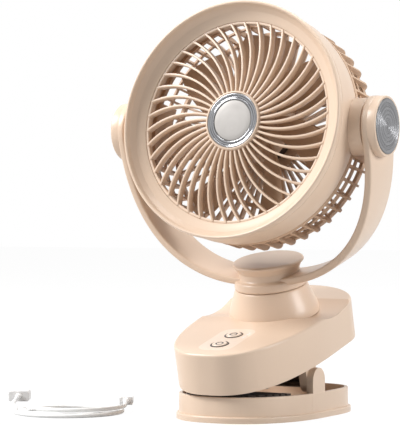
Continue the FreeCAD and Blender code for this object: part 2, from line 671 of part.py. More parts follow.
def build_panel():
    panel = panel_cut(0, -PANEL_THICK, 0)
    rim = BUTTON_RADIUS + SLIDE_FIT + TRIM_WIDTH
    trims = []
    for place in button_places().values():
        panel = panel.cut(cylinder(rim, -PANEL_THICK - 1, 1, centre=place))
        trims.append(tube(rim, BUTTON_RADIUS + SLIDE_FIT, -PANEL_THICK, TRIM_PROUD, centre=place))
    lights = []
    for place in led_places():
        panel = panel.cut(cylinder(LED_RADIUS, -PANEL_THICK - 1, 1, centre=place))
        lights.append(cylinder(LED_RADIUS, BOARD_TOP + LED_FOOT, LED_PROUD, centre=place))
    save("control_panel", on_deck(panel))
    save("button_trims", *[on_deck(trim) for trim in trims])
    save("battery_lights", *[on_deck(light) for light in lights])
    switch_top = BOARD_TOP + SWITCH_HEIGHT
    skirt_top = -HOUSING_WALL - BUTTON_SEAT_GAP
    switches = []
    for name, place in button_places().items():
        cap = cylinder(BUTTON_RADIUS, skirt_top - BUTTON_SEAT_GAP, BUTTON_PROUD, centre=place)
        cap = cap.makeFillet(BUTTON_ROUND, [e for e in cap.Edges if abs(e.CenterOfMass.z - BUTTON_PROUD) < 1e-3])
        skirt = cylinder(BUTTON_RADIUS + BUTTON_SKIRT, skirt_top - BUTTON_SKIRT, skirt_top, centre=place)
        stem = cylinder(BUTTON_STEM_RADIUS, switch_top + BUTTON_TRAVEL + BUTTON_SEAT_GAP, skirt_top - BUTTON_SKIRT / 2,
                        centre=place)
        save(name, on_deck(cap.fuse(skirt).fuse(stem)))
        half = SWITCH_WIDTH / 2
        body = block(-half, half, -half, half, BOARD_TOP, BOARD_TOP + SWITCH_BODY).translated(place)
        switches.append(body.fuse(cylinder(SWITCH_PLUNGER, BOARD_TOP, switch_top, centre=place)))
    board = block(-BOARD_HALF_WIDTH, BOARD_HALF_WIDTH, -PANEL_FRONT + BOARD_FRONT_INSET,
                  -PANEL_REAR - BOARD_REAR_INSET, BOARD_TOP - BOARD_THICK, BOARD_TOP)
    standoffs = [cylinder(STANDOFF_RADIUS, COVER_TOP, BOARD_TOP - BOARD_THICK, centre=Vector(x, y, 0))
                 for x in (-STANDOFF_SIDE, STANDOFF_SIDE)
                 for y in (-PANEL_FRONT + STANDOFF_INSET, -PANEL_REAR - STANDOFF_INSET)]
    save("control_board", on_deck(board))
    save("board_standoffs", *[on_deck(standoff) for standoff in standoffs])
    save("button_switches", *[on_deck(switch) for switch in switches])


def build_power():
    radius = CELL_DIAMETER / 2
    height = COVER_TOP + radius + CELL_SEAT
    terminal_radius, terminal_height = CELL_TERMINAL
    cells = []
    cradle = block(-CELL_LENGTH / 2 + CRADLE_INSET, CELL_LENGTH / 2 - CRADLE_INSET, -CELL_PLACES[0] - radius,
                   -CELL_PLACES[-1] + radius, COVER_TOP, COVER_TOP + CRADLE_HEIGHT)
    for forward in CELL_PLACES:
        centre = Vector(0, -forward, height)
        cell = cylinder(radius, -CELL_LENGTH / 2, CELL_LENGTH / 2 - terminal_height, X_AXIS, centre)
        cells.append(cell.fuse(cylinder(terminal_radius, -CELL_LENGTH / 2, CELL_LENGTH / 2, X_AXIS, centre)))
        cradle = cradle.cut(cylinder(radius + CRADLE_FIT, -CELL_LENGTH, CELL_LENGTH, X_AXIS, centre))
    save("battery_cells", *[on_deck(cell) for cell in cells])
    save("battery_cradle", on_deck(max(cradle.Solids, key=lambda solid: solid.Volume)))
    board_width, board_length, board_thick = CHARGE_BOARD
    tongue_width, tongue_thick, tongue_setback = SOCKET_TONGUE
    board_top = SOCKET_BOTTOM - SOCKET_BASE
    board_rear = HOUSING_REAR - HOUSING_WALL - CHARGE_BOARD_SETBACK
    board = block(-board_width / 2, board_width / 2, board_rear - board_length, board_rear, board_top - board_thick,
                  board_top)
    feet = [cylinder(CHARGE_FOOT_RADIUS, COVER_TOP, board_top - board_thick,
                     centre=Vector(x, board_rear - board_length / 2, 0)) for x in (-CHARGE_FOOT_SIDE, CHARGE_FOOT_SIDE)]
    front = SOCKET_BACK - SOCKET_LENGTH
    socket = socket_block(0, front, SOCKET_BACK).cut(socket_block(-SOCKET_WALL, front + 1, SOCKET_BACK + 1))
    socket = socket.fuse(block(-tongue_width / 2, tongue_width / 2, front, SOCKET_BACK - tongue_setback,
                               SOCKET_HEIGHT - tongue_thick / 2, SOCKET_HEIGHT + tongue_thick / 2))
    socket = socket.fuse(block(-SOCKET_WIDTH / 2, SOCKET_WIDTH / 2, front,
                               HOUSING_REAR - HOUSING_WALL - SOCKET_BASE_SETBACK, board_top,
                               SOCKET_BOTTOM + SOCKET_WALL))
    save("charging_board", on_deck(board.fuse(feet[0]).fuse(feet[1])))
    save("usb_c_socket", on_deck(socket))


# Neck and swivel, in deck coordinates
def build_neck():
    sink = -SCOOP_DEPTH - COLLAR_SINK
    bore_wall = SPINDLE_RADIUS + COLLAR_BORE_WALL
    collar = turned([(SPINDLE_RADIUS, sink), (COLLAR_FOOT_RADIUS + 0.6, sink),
                     (COLLAR_FOOT_RADIUS, 0), (COLLAR_FOOT_RADIUS - 0.5, 3.0),
                     (COLLAR_TOP_RADIUS + 0.2, COLLAR_TOP - 1.6), (COLLAR_TOP_RADIUS - 0.6, COLLAR_TOP),
                     (SPINDLE_RADIUS, COLLAR_TOP)])
    collar = collar.cut(turned([(bore_wall, -HOUSING_DEPTH), (COLLAR_FOOT_RADIUS - COLLAR_WALL, -HOUSING_DEPTH),
                                (COLLAR_FOOT_RADIUS - COLLAR_WALL, 2),
                                (COLLAR_TOP_RADIUS - COLLAR_WALL, COLLAR_TOP - COLLAR_WALL),
                                (bore_wall, COLLAR_TOP - COLLAR_WALL)]))
    collar = collar.cut(housing_block(0, -HOUSING_DEPTH, 0).cut(scoop()))
    spindle_top = FLANGE_TOP - SPINDLE_BELOW
    nut_bottom = FLANGE_TOP - NUT_BELOW
    spindle_bore = SPINDLE_RADIUS - SPINDLE_WALL
    spindle = tube(SPINDLE_RADIUS, spindle_bore, CAVITY_REAR_TOP - SPINDLE_FLANGE, spindle_top)
    spindle = spindle.fuse(tube(SPINDLE_RADIUS + SPINDLE_WALL, spindle_bore, CAVITY_REAR_TOP - SPINDLE_FLANGE,
                                CAVITY_REAR_TOP))
    nut = Part.Face(Part.makePolygon([Vector(NUT_RADIUS * math.cos(math.radians(a)),
                                             NUT_RADIUS * math.sin(math.radians(a)), nut_bottom)
                                      for a in range(0, 361, 60)])).extrude(Vector(0, 0, NUT_THICK))
    nut = nut.cut(cylinder(SPINDLE_RADIUS, 0, FLANGE_TOP))
    save("neck_collar", on_deck(collar))
    save("swivel_spindle", on_deck(spindle))
    save("spindle_nut", on_deck(nut))

    bore = SPINDLE_RADIUS + RUNNING_FIT
    split = FLANGE_TOP - NECK_SPLIT_BELOW
    hollow = split + NECK_HOLLOW
    band = yoke_band_shape()
    band.translate(Vector(0, 0, PIVOT_HEIGHT))
    sleeve = turned([(bore, COLLAR_TOP + SEAM), (SLEEVE_FOOT_RADIUS - 0.5, COLLAR_TOP + SEAM),
                     (SLEEVE_FOOT_RADIUS, COLLAR_TOP + 1.0), (NECK_WAIST_RADIUS, split), (bore, split)])
    cap = turned([(0, hollow), (NUT_RADIUS + 2, hollow), (NUT_RADIUS + 2, split),
                  (NECK_WAIST_RADIUS, split), (NECK_WAIST_RADIUS + 0.9, split + 3.5),
                  (FLANGE_RADIUS - 1.6, FLANGE_TOP - 3.4), (FLANGE_RADIUS - 0.2, FLANGE_TOP - 2.4),
                  (FLANGE_RADIUS, FLANGE_TOP - 1.2), (FLANGE_RADIUS - 1.0, FLANGE_TOP - 0.2),
                  (FLANGE_RADIUS - 3.0, FLANGE_TOP), (0, FLANGE_TOP)])
    save("neck_sleeve", on_deck(sleeve.cut(band)))
    save("neck_flange_cap", on_deck(cap.cut(band)))


# Yoke, in yoke coordinates
def yoke_curve(inset):
    """The lower half of the U as a smooth curve on a squared ellipse, drawn in by inset."""
    width = YOKE_HALF_WIDTH - inset
    drop = YOKE_DROP - inset
    power = 2 / YOKE_SQUARENESS
    points = []
    for step in range(25):
        angle = math.pi * step / 24
        c, s = math.cos(angle), math.sin(angle)
        points.append(Vector(math.copysign(width * abs(c) ** power, c), 0, -drop * s ** power if s > 1e-9 else 0))
    curve = Part.BSplineCurve()
    curve.interpolate(points, InitialTangent=Vector(0, 0, -1), FinalTangent=Vector(0, 0, 1))
    return curve.toShape()


def yoke_band_shape():
    top = YOKE_END_RADIUS + 1
    outer = yoke_curve(0)
    inner = yoke_curve(YOKE_THICK)
    a, b = Vector(YOKE_HALF_WIDTH, 0, 0), Vector(-YOKE_HALF_WIDTH, 0, 0)
    c, d = Vector(YOKE_HALF_WIDTH - YOKE_THICK, 0, 0), Vector(YOKE_THICK - YOKE_HALF_WIDTH, 0, 0)
    rise = Vector(0, 0, top)
    lines = [(b, b + rise), (b + rise, d + rise), (d + rise, d), (c, c + rise), (c + rise, a + rise), (a + rise, a)]
    edges = [outer, inner] + [Part.LineSegment(p, q).toShape() for p, q in lines]
    face = Part.Face(Part.Wire(Part.__sortEdges__(edges)))
    width = 2 * YOKE_END_RADIUS
    face.translate(Vector(0, -width / 2, 0))
    band = face.extrude(Vector(0, width, 0))
    waist = YOKE_TAPER_END - YOKE_DROP
    side = Part.Face(Part.makePolygon([Vector(0, -YOKE_END_RADIUS, 0), Vector(0, -YOKE_WAIST, waist),
                                       Vector(0, -YOKE_WAIST, -YOKE_DROP - 1), Vector(0, YOKE_WAIST, -YOKE_DROP - 1),
                                       Vector(0, YOKE_WAIST, waist), Vector(0, YOKE_END_RADIUS, 0),
                                       Vector(0, -YOKE_END_RADIUS, 0)]))
    side.translate(Vector(-YOKE_HALF_WIDTH - 1, 0, 0))
    prism = side.extrude(Vector(2 * YOKE_HALF_WIDTH + 2, 0, 0))
    prism = prism.fuse(cylinder(YOKE_END_RADIUS, -YOKE_HALF_WIDTH - 1, YOKE_HALF_WIDTH + 1, X_AXIS))
    return band.common(prism)


def build_yoke():
    band = yoke_band_shape()
    band = band.cut(cylinder(SPINDLE_RADIUS + RUNNING_FIT, -YOKE_DROP - YOKE_THICK, -YOKE_DROP + 2 * YOKE_THICK))
    bolt_hole = cylinder(PIVOT_BOLT_RADIUS, -YOKE_HALF_WIDTH - 1, YOKE_HALF_WIDTH + 1, X_AXIS)
    cap_end = YOKE_HALF_WIDTH + CAP_PROUD
    inner = YOKE_HALF_WIDTH - YOKE_THICK
    seat = cylinder(BOSS_RADIUS - WASHER_INSET + SLIDE_FIT, 0, inner, X_AXIS)
    save("yoke_band", on_yoke(band.cut(bolt_hole).cut(seat).cut(mirrored(seat))))
    cap = cylinder(CAP_RADIUS, YOKE_HALF_WIDTH - CAP_ROOT, cap_end, X_AXIS)
    cap = cap.makeFillet(CAP_EDGE_ROUND, [e for e in cap.Edges if e.CenterOfMass.x > cap_end - 0.1])
    cap = cap.cut(cylinder(DISC_RADIUS, cap_end - DISC_SEAT, cap_end + 1, X_AXIS))
    cap = cap.cut(cylinder(BOLT_HEAD_RADIUS + SLIDE_FIT, YOKE_HALF_WIDTH - 1,
                           YOKE_HALF_WIDTH + BOLT_HEAD_THICK + SLIDE_FIT, X_AXIS))
    disc_face = cap_end - DISC_SEAT + DISC_THICK
    disc = cylinder(DISC_RADIUS, cap_end - DISC_SEAT, disc_face, X_AXIS)
    for groove in range(DISC_GROOVES):
        radius = DISC_RADIUS * (groove + 1) / (DISC_GROOVES + 1)
        disc = disc.cut(tube(radius + GROOVE_WIDTH / 2, radius - GROOVE_WIDTH / 2, disc_face - GROOVE_DEPTH,
                             disc_face + 1, X_AXIS))
    bolt = cylinder(PIVOT_BOLT_RADIUS, inner - BOLT_REACH, YOKE_HALF_WIDTH, X_AXIS)
    bolt = bolt.fuse(cylinder(BOLT_HEAD_RADIUS, YOKE_HALF_WIDTH, YOKE_HALF_WIDTH + BOLT_HEAD_THICK, X_AXIS))
    washer = tube(BOSS_RADIUS - WASHER_INSET, PIVOT_BOLT_RADIUS, inner - WASHER_THICK, inner, X_AXIS)
    save("pivot_cap_right", on_yoke(cap.cut(band)))
    save("pivot_cap_left", on_yoke(mirrored(cap).cut(band)))
    save("pivot_disc_right", on_yoke(disc))
    save("pivot_disc_left", on_yoke(mirrored(disc)))
    save("pivot_bolts", on_yoke(bolt), on_yoke(mirrored(bolt)))
    save("friction_washers", on_yoke(washer), on_yoke(mirrored(washer)))


# Fan head, in head coordinates
def dome_front(radius):
    """Forward depth of the front grille's face at a radius."""
    share = (radius - HUB_RADIUS) / (GRILLE_RADIUS - HUB_RADIUS)
    return GRILLE_HUB_FRONT + (GRILLE_EDGE_FRONT - GRILLE_HUB_FRONT) * share ** 1.6


def build_bezel():
    inner = DRUM_REAR_RADIUS - DRUM_WALL
    web = GRILLE_EDGE_FRONT - BEZEL_WEB
    step_out, step_up = BEZEL_STEP
    slope_in, slope_back = BEZEL_WEB_SLOPE
    side = [(RIM_RADIUS - inset, depth) for inset, depth in BEZEL_SIDE]
    lip = [(RIM_RADIUS - inset, RIM_FRONT - back) for inset, back in BEZEL_LIP]
    bezel = spun([(inner, DRUM_REAR), (DRUM_REAR_RADIUS, DRUM_REAR)] + side + lip
                 + [(GRILLE_RADIUS + step_out, GRILLE_EDGE_FRONT + step_up), (GRILLE_RADIUS, GRILLE_EDGE_FRONT),
                    (GRILLE_RADIUS, web), (inner - slope_in, web), (inner, web - slope_back)])
    save("front_bezel", on_head(bezel))


def build_front_grille():
    sweep = math.radians(GRILLE_SWEEP)
    inner = HUB_RADIUS - 1.0
    outer = GRILLE_RADIUS - 1.0

    def place(radius):
        angle = sweep * ((radius - inner) / (outer - inner)) ** 1.5
        return Vector(-radius * math.sin(angle), 0, radius * math.cos(angle))

    start, middle, end = place(inner), place((inner + outer) / 2), place(outer)
    aside = Vector(0, 1, 0).cross((end - start).normalize()) * (GRILLE_BAR_THICK / 2)
    left = Part.Arc(start + aside, middle + aside, end + aside).toShape()
    right = Part.Arc(start - aside, middle - aside, end - aside).toShape()
    strip = Part.Face(Part.Wire([left, Part.LineSegment(end + aside, end - aside).toShape(), right,
                                 Part.LineSegment(start - aside, start + aside).toShape()]))
    strip.translate(Vector(0, -GRILLE_HUB_FRONT - 5, 0))
    prism = strip.extrude(Vector(0, 30, 0))
    radii = [HUB_RADIUS - 2 + (GRILLE_RADIUS - HUB_RADIUS + 2) * i / 8 for i in range(9)]
    front = [(r, dome_front(max(r, HUB_RADIUS))) for r in radii]
    back = [(r, depth - GRILLE_BAR_DEPTH) for r, depth in reversed(front)]
    bar = prism.common(spun(front + back))
    bars = []
    for index in range(GRILLE_BARS):
        copy = bar.copy()
        copy.rotate(ORIGIN, Y_AXIS, 360 * index / GRILLE_BARS)
        bars.append(copy)
    rim_back = GRILLE_EDGE_FRONT - BEZEL_WEB
    rim_front = GRILLE_EDGE_FRONT - GRILLE_RIM_SETBACK
    rim_inner = GRILLE_RADIUS - GRILLE_RIM_WIDTH
    rim = spun([(rim_inner, rim_back), (GRILLE_RADIUS, rim_back), (GRILLE_RADIUS, rim_front), (rim_inner, rim_front)])
    floor = GRILLE_HUB_FRONT - TRIM_FLOOR
    back = GRILLE_HUB_FRONT - HUB_BACK
    lip = [(HUB_RADIUS - inset, GRILLE_HUB_FRONT + rise) for inset, rise in HUB_LIP]
    hub = spun([(0, back), (HUB_RADIUS, back)] + lip
               + [(CHROME_RADIUS, GRILLE_HUB_FRONT + HUB_LIP[-1][1]), (CHROME_RADIUS, floor), (0, floor)])
    grille = hub.fuse([rim] + bars)
    outer = [(CHROME_RADIUS - inset, GRILLE_HUB_FRONT + rise) for inset, rise in CHROME_OUTER]
    inside = [(CENTRE_DISC_RADIUS + out, GRILLE_HUB_FRONT + rise) for out, rise in CHROME_INNER]
    chrome = spun([(CENTRE_DISC_RADIUS, floor), (CHROME_RADIUS, floor)] + outer + inside)
    crown = [(CENTRE_DISC_RADIUS - inset, GRILLE_HUB_FRONT + rise) for inset, rise in CENTRE_DISC_CROWN]
    disc = spun([(0, floor), (CENTRE_DISC_RADIUS, floor)] + crown + [(0, GRILLE_HUB_FRONT + CENTRE_DISC_TOP)])
    save("front_grille", on_head(grille))
    save("hub_chrome_ring", on_head(chrome))
    save("hub_centre_disc", on_head(disc))


def build_rear_cage():
    front = DRUM_REAR
    inner = CAGE_RADIUS - CAGE_FIN_DEPTH
    corner = CAGE_CORNER
    outline = [Vector(CAGE_RADIUS, -front, 0), Vector(CAGE_RADIUS, CAGE_REAR - corner, 0)]
    lean = corner * (1 - math.sqrt(0.5))
    arc = Part.Arc(outline[-1], Vector(CAGE_RADIUS - lean, CAGE_REAR - lean, 0),
                   Vector(CAGE_RADIUS - corner, CAGE_REAR, 0)).toShape()
    hub = CAGE_HUB_RADIUS - 1
    rest = [Vector(CAGE_RADIUS - corner, CAGE_REAR, 0), Vector(hub, CAGE_REAR + 1.5, 0),
            Vector(hub, CAGE_REAR - 4, 0), Vector(inner - 1, CAGE_REAR - 5, 0), Vector(inner, CAGE_REAR - 7, 0),
            Vector(inner, -front, 0), Vector(CAGE_RADIUS, -front, 0)]
    edges = [Part.LineSegment(*outline).toShape(), arc]
    edges += [Part.LineSegment(a, b).toShape() for a, b in zip(rest, rest[1:])]
    face = Part.Face(Part.Wire(edges))
    face.translate(Vector(0, 0, -CAGE_FIN_THICK / 2))
    fin = face.extrude(Vector(0, 0, CAGE_FIN_THICK))
    fins = []
    for index in range(CAGE_FINS):
        copy = fin.copy()
        copy.rotate(ORIGIN, Y_AXIS, 360 * (index + 0.5) / CAGE_FINS)
        fins.append(copy)
    rings = [spun([(inner, front), (DRUM_REAR_RADIUS - 0.4, front), (DRUM_REAR_RADIUS - 0.4, front - 3.5),
                   (inner, front - 3.5)]),
             spun([(inner + 0.5, -12.0), (CAGE_RADIUS - 2.6, -12.0), (CAGE_RADIUS - 2.6, -15.0),
                   (inner + 0.5, -15.0)]),
             spun([(inner - 2.5, -CAGE_REAR + 7), (CAGE_RADIUS - 4.5, -CAGE_REAR + 7),
                   (CAGE_RADIUS - 4.5, -CAGE_REAR + 2.6), (inner - 2.5, -CAGE_REAR + 2.6)]),
             tube(CAGE_RING_RADIUS + CAGE_RING_WIDTH / 2, CAGE_RING_RADIUS - CAGE_RING_WIDTH / 2,
                  CAGE_REAR - CAGE_PLATE_DEPTH, CAGE_REAR + 0.4, Y_AXIS)]
    plate = cylinder(CAGE_HUB_RADIUS, CAGE_REAR - CAGE_PLATE_DEPTH, CAGE_REAR + CAGE_PLATE_PROUD, Y_AXIS)
    cage = plate.fuse(rings + fins)
    wall = tube(CAGE_RADIUS, inner, -DRUM_REAR, BOSS_RADIUS + 1, Y_AXIS)
    for x0, x1 in ((0, RIM_RADIUS), (-RIM_RADIUS, 0)):
        cage = cage.fuse(wall.common(block(x0, x1, -DRUM_REAR, BOSS_RADIUS + 1, -BOSS_RADIUS - 1, BOSS_RADIUS + 1)))
    save("rear_cage", on_head(cage))


def build_bosses():
    side = [(RIM_RADIUS - inset, depth) for inset, depth in BEZEL_SIDE]
    envelope = spun([(0, -CAGE_REAR), (CAGE_RADIUS, -CAGE_REAR), (CAGE_RADIUS, DRUM_REAR),
                     (DRUM_REAR_RADIUS, DRUM_REAR)] + side + [(0, side[-1][1])])
    end = YOKE_HALF_WIDTH - YOKE_THICK - WASHER_THICK - SLIDE_FIT
    for name, flip in (("pivot_boss_right", False), ("pivot_boss_left", True)):
        boss = cylinder(BOSS_RADIUS, CAGE_RADIUS - CAGE_FIN_DEPTH, end, X_AXIS)
        boss = boss.makeFillet(0.8, [e for e in boss.Edges if e.CenterOfMass.x > end - 0.1])
        boss = boss.cut(envelope).cut(cylinder(PIVOT_BOLT_RADIUS + RUNNING_FIT, 0, YOKE_HALF_WIDTH, X_AXIS))
        save(name, on_head(mirrored(boss) if flip else boss))


def build_motor():
    rear = CAGE_REAR - CAGE_PLATE_DEPTH
    front = -MOTOR_FRONT
    can = tube(MOTOR_RADIUS, MOTOR_RADIUS - MOTOR_WALL, front, rear, Y_AXIS)
    for start in (front, rear - MOTOR_PLATE):
        can = can.fuse(tube(MOTOR_RADIUS, BEARING_RADIUS, start, start + MOTOR_PLATE, Y_AXIS))
    winding = tube(MOTOR_RADIUS - MOTOR_WALL, WINDING_BORE, front + WINDING_INSET, rear - WINDING_INSET, Y_AXIS)
    rotor = tube(ROTOR_RADIUS, SHAFT_RADIUS, front + ROTOR_INSET, rear - ROTOR_INSET, Y_AXIS)
    bearings = [tube(BEARING_RADIUS, SHAFT_RADIUS + BEARING_FIT, start, start + MOTOR_PLATE, Y_AXIS)
                for start in (front, rear - MOTOR_PLATE)]
    shaft = cylinder(SHAFT_RADIUS, -SHAFT_FRONT, rear - SHAFT_END_GAP, Y_AXIS)
    save("motor_can", on_head(can))
    save("motor_winding", on_head(winding))
    save("motor_rotor", on_head(rotor))
    save("motor_bearings", *[on_head(bearing) for bearing in bearings])
    save("motor_shaft", on_head(shaft))
    screws = []
    for angle in (45, 135, 225, 315):
        centre = Vector(math.cos(math.radians(angle)), 0, math.sin(math.radians(angle))) * MOTOR_SCREW_PLACE
        seat = CAGE_REAR + CAGE_PLATE_PROUD
        screws.append(cylinder(MOTOR_SCREW_RADIUS, seat, seat + MOTOR_SCREW_THICK, Y_AXIS, centre))
    save("motor_screws", *[on_head(screw) for screw in screws])


def build_impeller():
    crown = IMPELLER_FRONT - IMPELLER_CHAMFER
    bore_radius, bore_rear = IMPELLER_BOSS
    hub = spun([(SHAFT_RADIUS, IMPELLER_FRONT), (IMPELLER_HUB_RADIUS - IMPELLER_CHAMFER, IMPELLER_FRONT),
                (IMPELLER_HUB_RADIUS, crown), (IMPELLER_HUB_RADIUS, IMPELLER_REAR),
                (IMPELLER_HUB_RADIUS - IMPELLER_WALL, IMPELLER_REAR), (IMPELLER_HUB_RADIUS - IMPELLER_WALL, crown - 1),
                (bore_radius, crown), (bore_radius, bore_rear), (SHAFT_RADIUS, bore_rear)])
    sections = []
    radii = (IMPELLER_HUB_RADIUS - BLADE_SINK, BLADE_MIDDLE, BLADE_TIP)
    for radius, (chord, pitch, sweep) in zip(radii, BLADE_SHAPE):
        tilt = math.radians(pitch)
        along = Vector(math.cos(tilt), math.sin(tilt), 0) * (chord / 2)
        across = Vector(-math.sin(tilt), math.cos(tilt), 0) * (BLADE_THICK / 2)
        centre = Vector(sweep, 1.5, math.sqrt(radius * radius - sweep * sweep))
        corners = [centre - along - across, centre + along - across, centre + along + across, centre - along + across]
        sections.append(Part.makePolygon(corners + corners[:1]))
    blade = Part.makeLoft(sections, True, False)
    blade = blade.common(tube(BLADE_TIP, IMPELLER_HUB_RADIUS - 1.0, -BLADE_REAR, CAGE_REAR / 2, Y_AXIS))
    blades = []
    for index in range(BLADES):
        copy = blade.copy()
        copy.rotate(ORIGIN, Y_AXIS, 360 * index / BLADES)
        blades.append(copy)
    save("impeller", on_head(hub.fuse(blades)))
    nut_radius, nut_thick = IMPELLER_NUT
    nut = cylinder(nut_radius, -IMPELLER_FRONT - nut_thick, -IMPELLER_FRONT, Y_AXIS)
    nut = nut.cut(cylinder(SHAFT_RADIUS, -SHAFT_FRONT, 0, Y_AXIS))
    save("impeller_nut", on_head(nut))


# Charging lead, in coordinates of its coil: +Y is away from the fan's viewer
def on_table(shape):
    moved = shape.copy()
    moved.rotate(ORIGIN, Z_AXIS, COIL_TURN)
    moved.translate(COIL_PLACE)
    return moved


CORD_HEIGHT = CORD_DIAMETER / 2
LEAD_A_POINTS = [Vector(-45.0, 80.0, 4.0), Vector(-45.0, 65.0, 4.0), Vector(-45.4, 48.0, 2.0),
                 Vector(-43.6, 32.0, 1.5), Vector(-40.0, 17.0, 1.5), Vector(-40.0, 3.0, 1.5)]
LEAD_B_POINTS = [Vector(40.0, 3.0, 5.1), Vector(40.0, 14.0, 5.1), Vector(39.2, 27.0, 3.9),
                 Vector(38.6, 40.0, 3.0), Vector(38.6, 52.0, 3.0)]


def coil_edges():
    """Flat turns wound inwards, then one half turn that rides over them to the right side."""
    def station(angle, radius, height, inward, climb):
        place = Vector(-radius * math.cos(angle), -radius * math.sin(angle), height)
        way = Vector(math.sin(angle) * radius + inward * math.cos(angle),
                     -math.cos(angle) * radius + inward * math.sin(angle), climb).normalize()
        return place, way

    shrink = COIL_PITCH / (2 * math.pi)
    stations = []
    for step in range(4 * COIL_LOOPS + 1):
        angle = step * math.pi / 2
        rate = 0.0 if step == 0 else shrink
        stations.append(station(angle, COIL_RADIUS - shrink * angle, CORD_HEIGHT, rate, 0.0))
    inner = COIL_RADIUS - COIL_PITCH * COIL_LOOPS
    base = 2 * math.pi * COIL_LOOPS
    rise = ((0.17, 0.25, 0.86, -1.0, 5.0), (0.5, 3.4, 1.0, -6.0, 0.0), (0.8, 8.6, 1.0, -5.0, 0.0))
    for share, out, up, rate, climb in rise:
        stations.append(station(base + math.pi * share, inner + out, CORD_HEIGHT + LAYER_RISE * up, rate, climb))
    stations.append(station(base + math.pi, COIL_RADIUS, CORD_HEIGHT + LAYER_RISE, 0.0, 0.0))
    edges = []
    for (a, way_a), (b, way_b) in zip(stations, stations[1:]):
        edges += biarc(a, way_a, b, way_b)
    first, first_way = stations[0]
    last, last_way = stations[-1]
    start = first - first_way * CORD_DIAMETER
    end = last + last_way * CORD_DIAMETER
    return ([Part.LineSegment(start, first).toShape()] + edges + [Part.LineSegment(last, end).toShape()],
            start, first_way)


def coil_gap(edges):
    """The least distance between parts of the coil's centre line that aren't neighbours."""
    points = []
    travelled = 0.0
    for edge in edges:
        count = max(2, int(edge.Length / 1.5))
        marks = edge.discretize(Number=count)
        if points and (marks[0] - points[-1][1]).Length > (marks[-1] - points[-1][1]).Length:
            marks = marks[::-1]
        for point in marks:
            if points:
                travelled += (point - points[-1][1]).Length
            points.append((travelled, point))
    least = 1e9
    for i, (at, point) in enumerate(points):
        for other_at, other in points[i + 1:]:
            if other_at - at > 6 * CORD_DIAMETER:
                least = min(least, (other - point).Length)
    return least - CORD_DIAMETER


def plug(name, body_size, metal_size, exit_point, height):
    """A plug lying on the table: a moulded body, its metal end and its tapered strain relief."""
    width, length, thick = body_size
    metal_width, metal_length, metal_thick = metal_size
    x, y = exit_point.x, exit_point.y
    body_start = y + RELIEF_LENGTH
    body = block(x - width / 2, x + width / 2, body_start, body_start + length, height - thick / 2,
                 height + thick / 2)
    body = body.makeFillet(min(width, thick) * PLUG_ROUND, [e for e in body.Edges if e.Length > length - 0.1
                                                      and abs(e.tangentAt(0).y) > 0.9])
    metal = block(x - metal_width / 2, x + metal_width / 2, body_start + length, body_start + length + metal_length,
                  height - metal_thick / 2, height + metal_thick / 2)
    wall = PLUG_WALL
    metal = metal.cut(block(x - metal_width / 2 + wall, x + metal_width / 2 - wall, body_start + length + 1,
                            body_start + length + metal_length + 1, height - metal_thick / 2 + wall,
                            height + metal_thick / 2 - wall))
    tongue_half = metal_width / 2 - wall - PLUG_TONGUE_GAP
    tongue = block(x - tongue_half, x + tongue_half, body_start + length, body_start + length + metal_length - PLUG_TONGUE_SETBACK,
                   height - PLUG_TONGUE_THICK / 2, height + PLUG_TONGUE_THICK / 2)
    narrow, wide = RELIEF_WALL
    relief = Part.makeCone(CORD_DIAMETER / 2 + narrow, CORD_DIAMETER / 2 + wide, RELIEF_LENGTH,
                           Vector(x, y, height), Y_AXIS)
    save(f"{name}_body", on_table(body))
    save(f"{name}_shell", on_table(metal.fuse(tongue)))
    save(f"{name}_strain_relief", on_table(relief))


def build_charging_lead():
    plug("usb_a_plug", PLUG_A_BODY, PLUG_A_METAL, LEAD_A_POINTS[0], LEAD_A_POINTS[0].z)
    plug("usb_c_plug", PLUG_C_BODY, PLUG_C_METAL, LEAD_B_POINTS[-1], LEAD_B_POINTS[-1].z)
    lead_a, length_a = cord_run("cord_lead_a", LEAD_A_POINTS)
    lead_b, length_b = cord_run("cord_lead_b", LEAD_B_POINTS)
    edges, start, way = coil_edges()
    coil = piped(edges, CORD_DIAMETER / 2, start, way)
    length = sum(edge.Length for edge in edges)
    print("cord_coil length", round(length, 1), "least gap to itself", round(coil_gap(edges), 2),
          "tightest arc", round(min(e.Curve.Radius for e in edges if hasattr(e.Curve, "Radius")), 1),
          "volume over section times length", round(coil.Volume / (math.pi * CORD_HEIGHT ** 2 * length), 4))
    print("cord length in all", round(length_a + length + length_b, 1))
    save("cord_lead_a", on_table(lead_a))
    save("cord_coil", on_table(coil))
    save("cord_lead_b", on_table(lead_b))


build_lower_jaw()
build_hinge_parts()
build_housing()
build_panel()
build_power()
build_neck()
build_yoke()
build_bezel()
build_front_grille()
build_rear_cage()
build_bosses()
build_motor()
build_impeller()
build_charging_lead()
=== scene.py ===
"""Looks of a portable camping fan: a round fan head in a U yoke on a sprung clamp base, with its lead.

Sizes in the classes are in millimetres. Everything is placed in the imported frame, in metres.
"""

from __future__ import annotations

import logging
import math
from dataclasses import dataclass
from enum import Enum
from typing import Callable, Iterable, Sequence

import bmesh
import bpy
from mathutils import Matrix, Vector


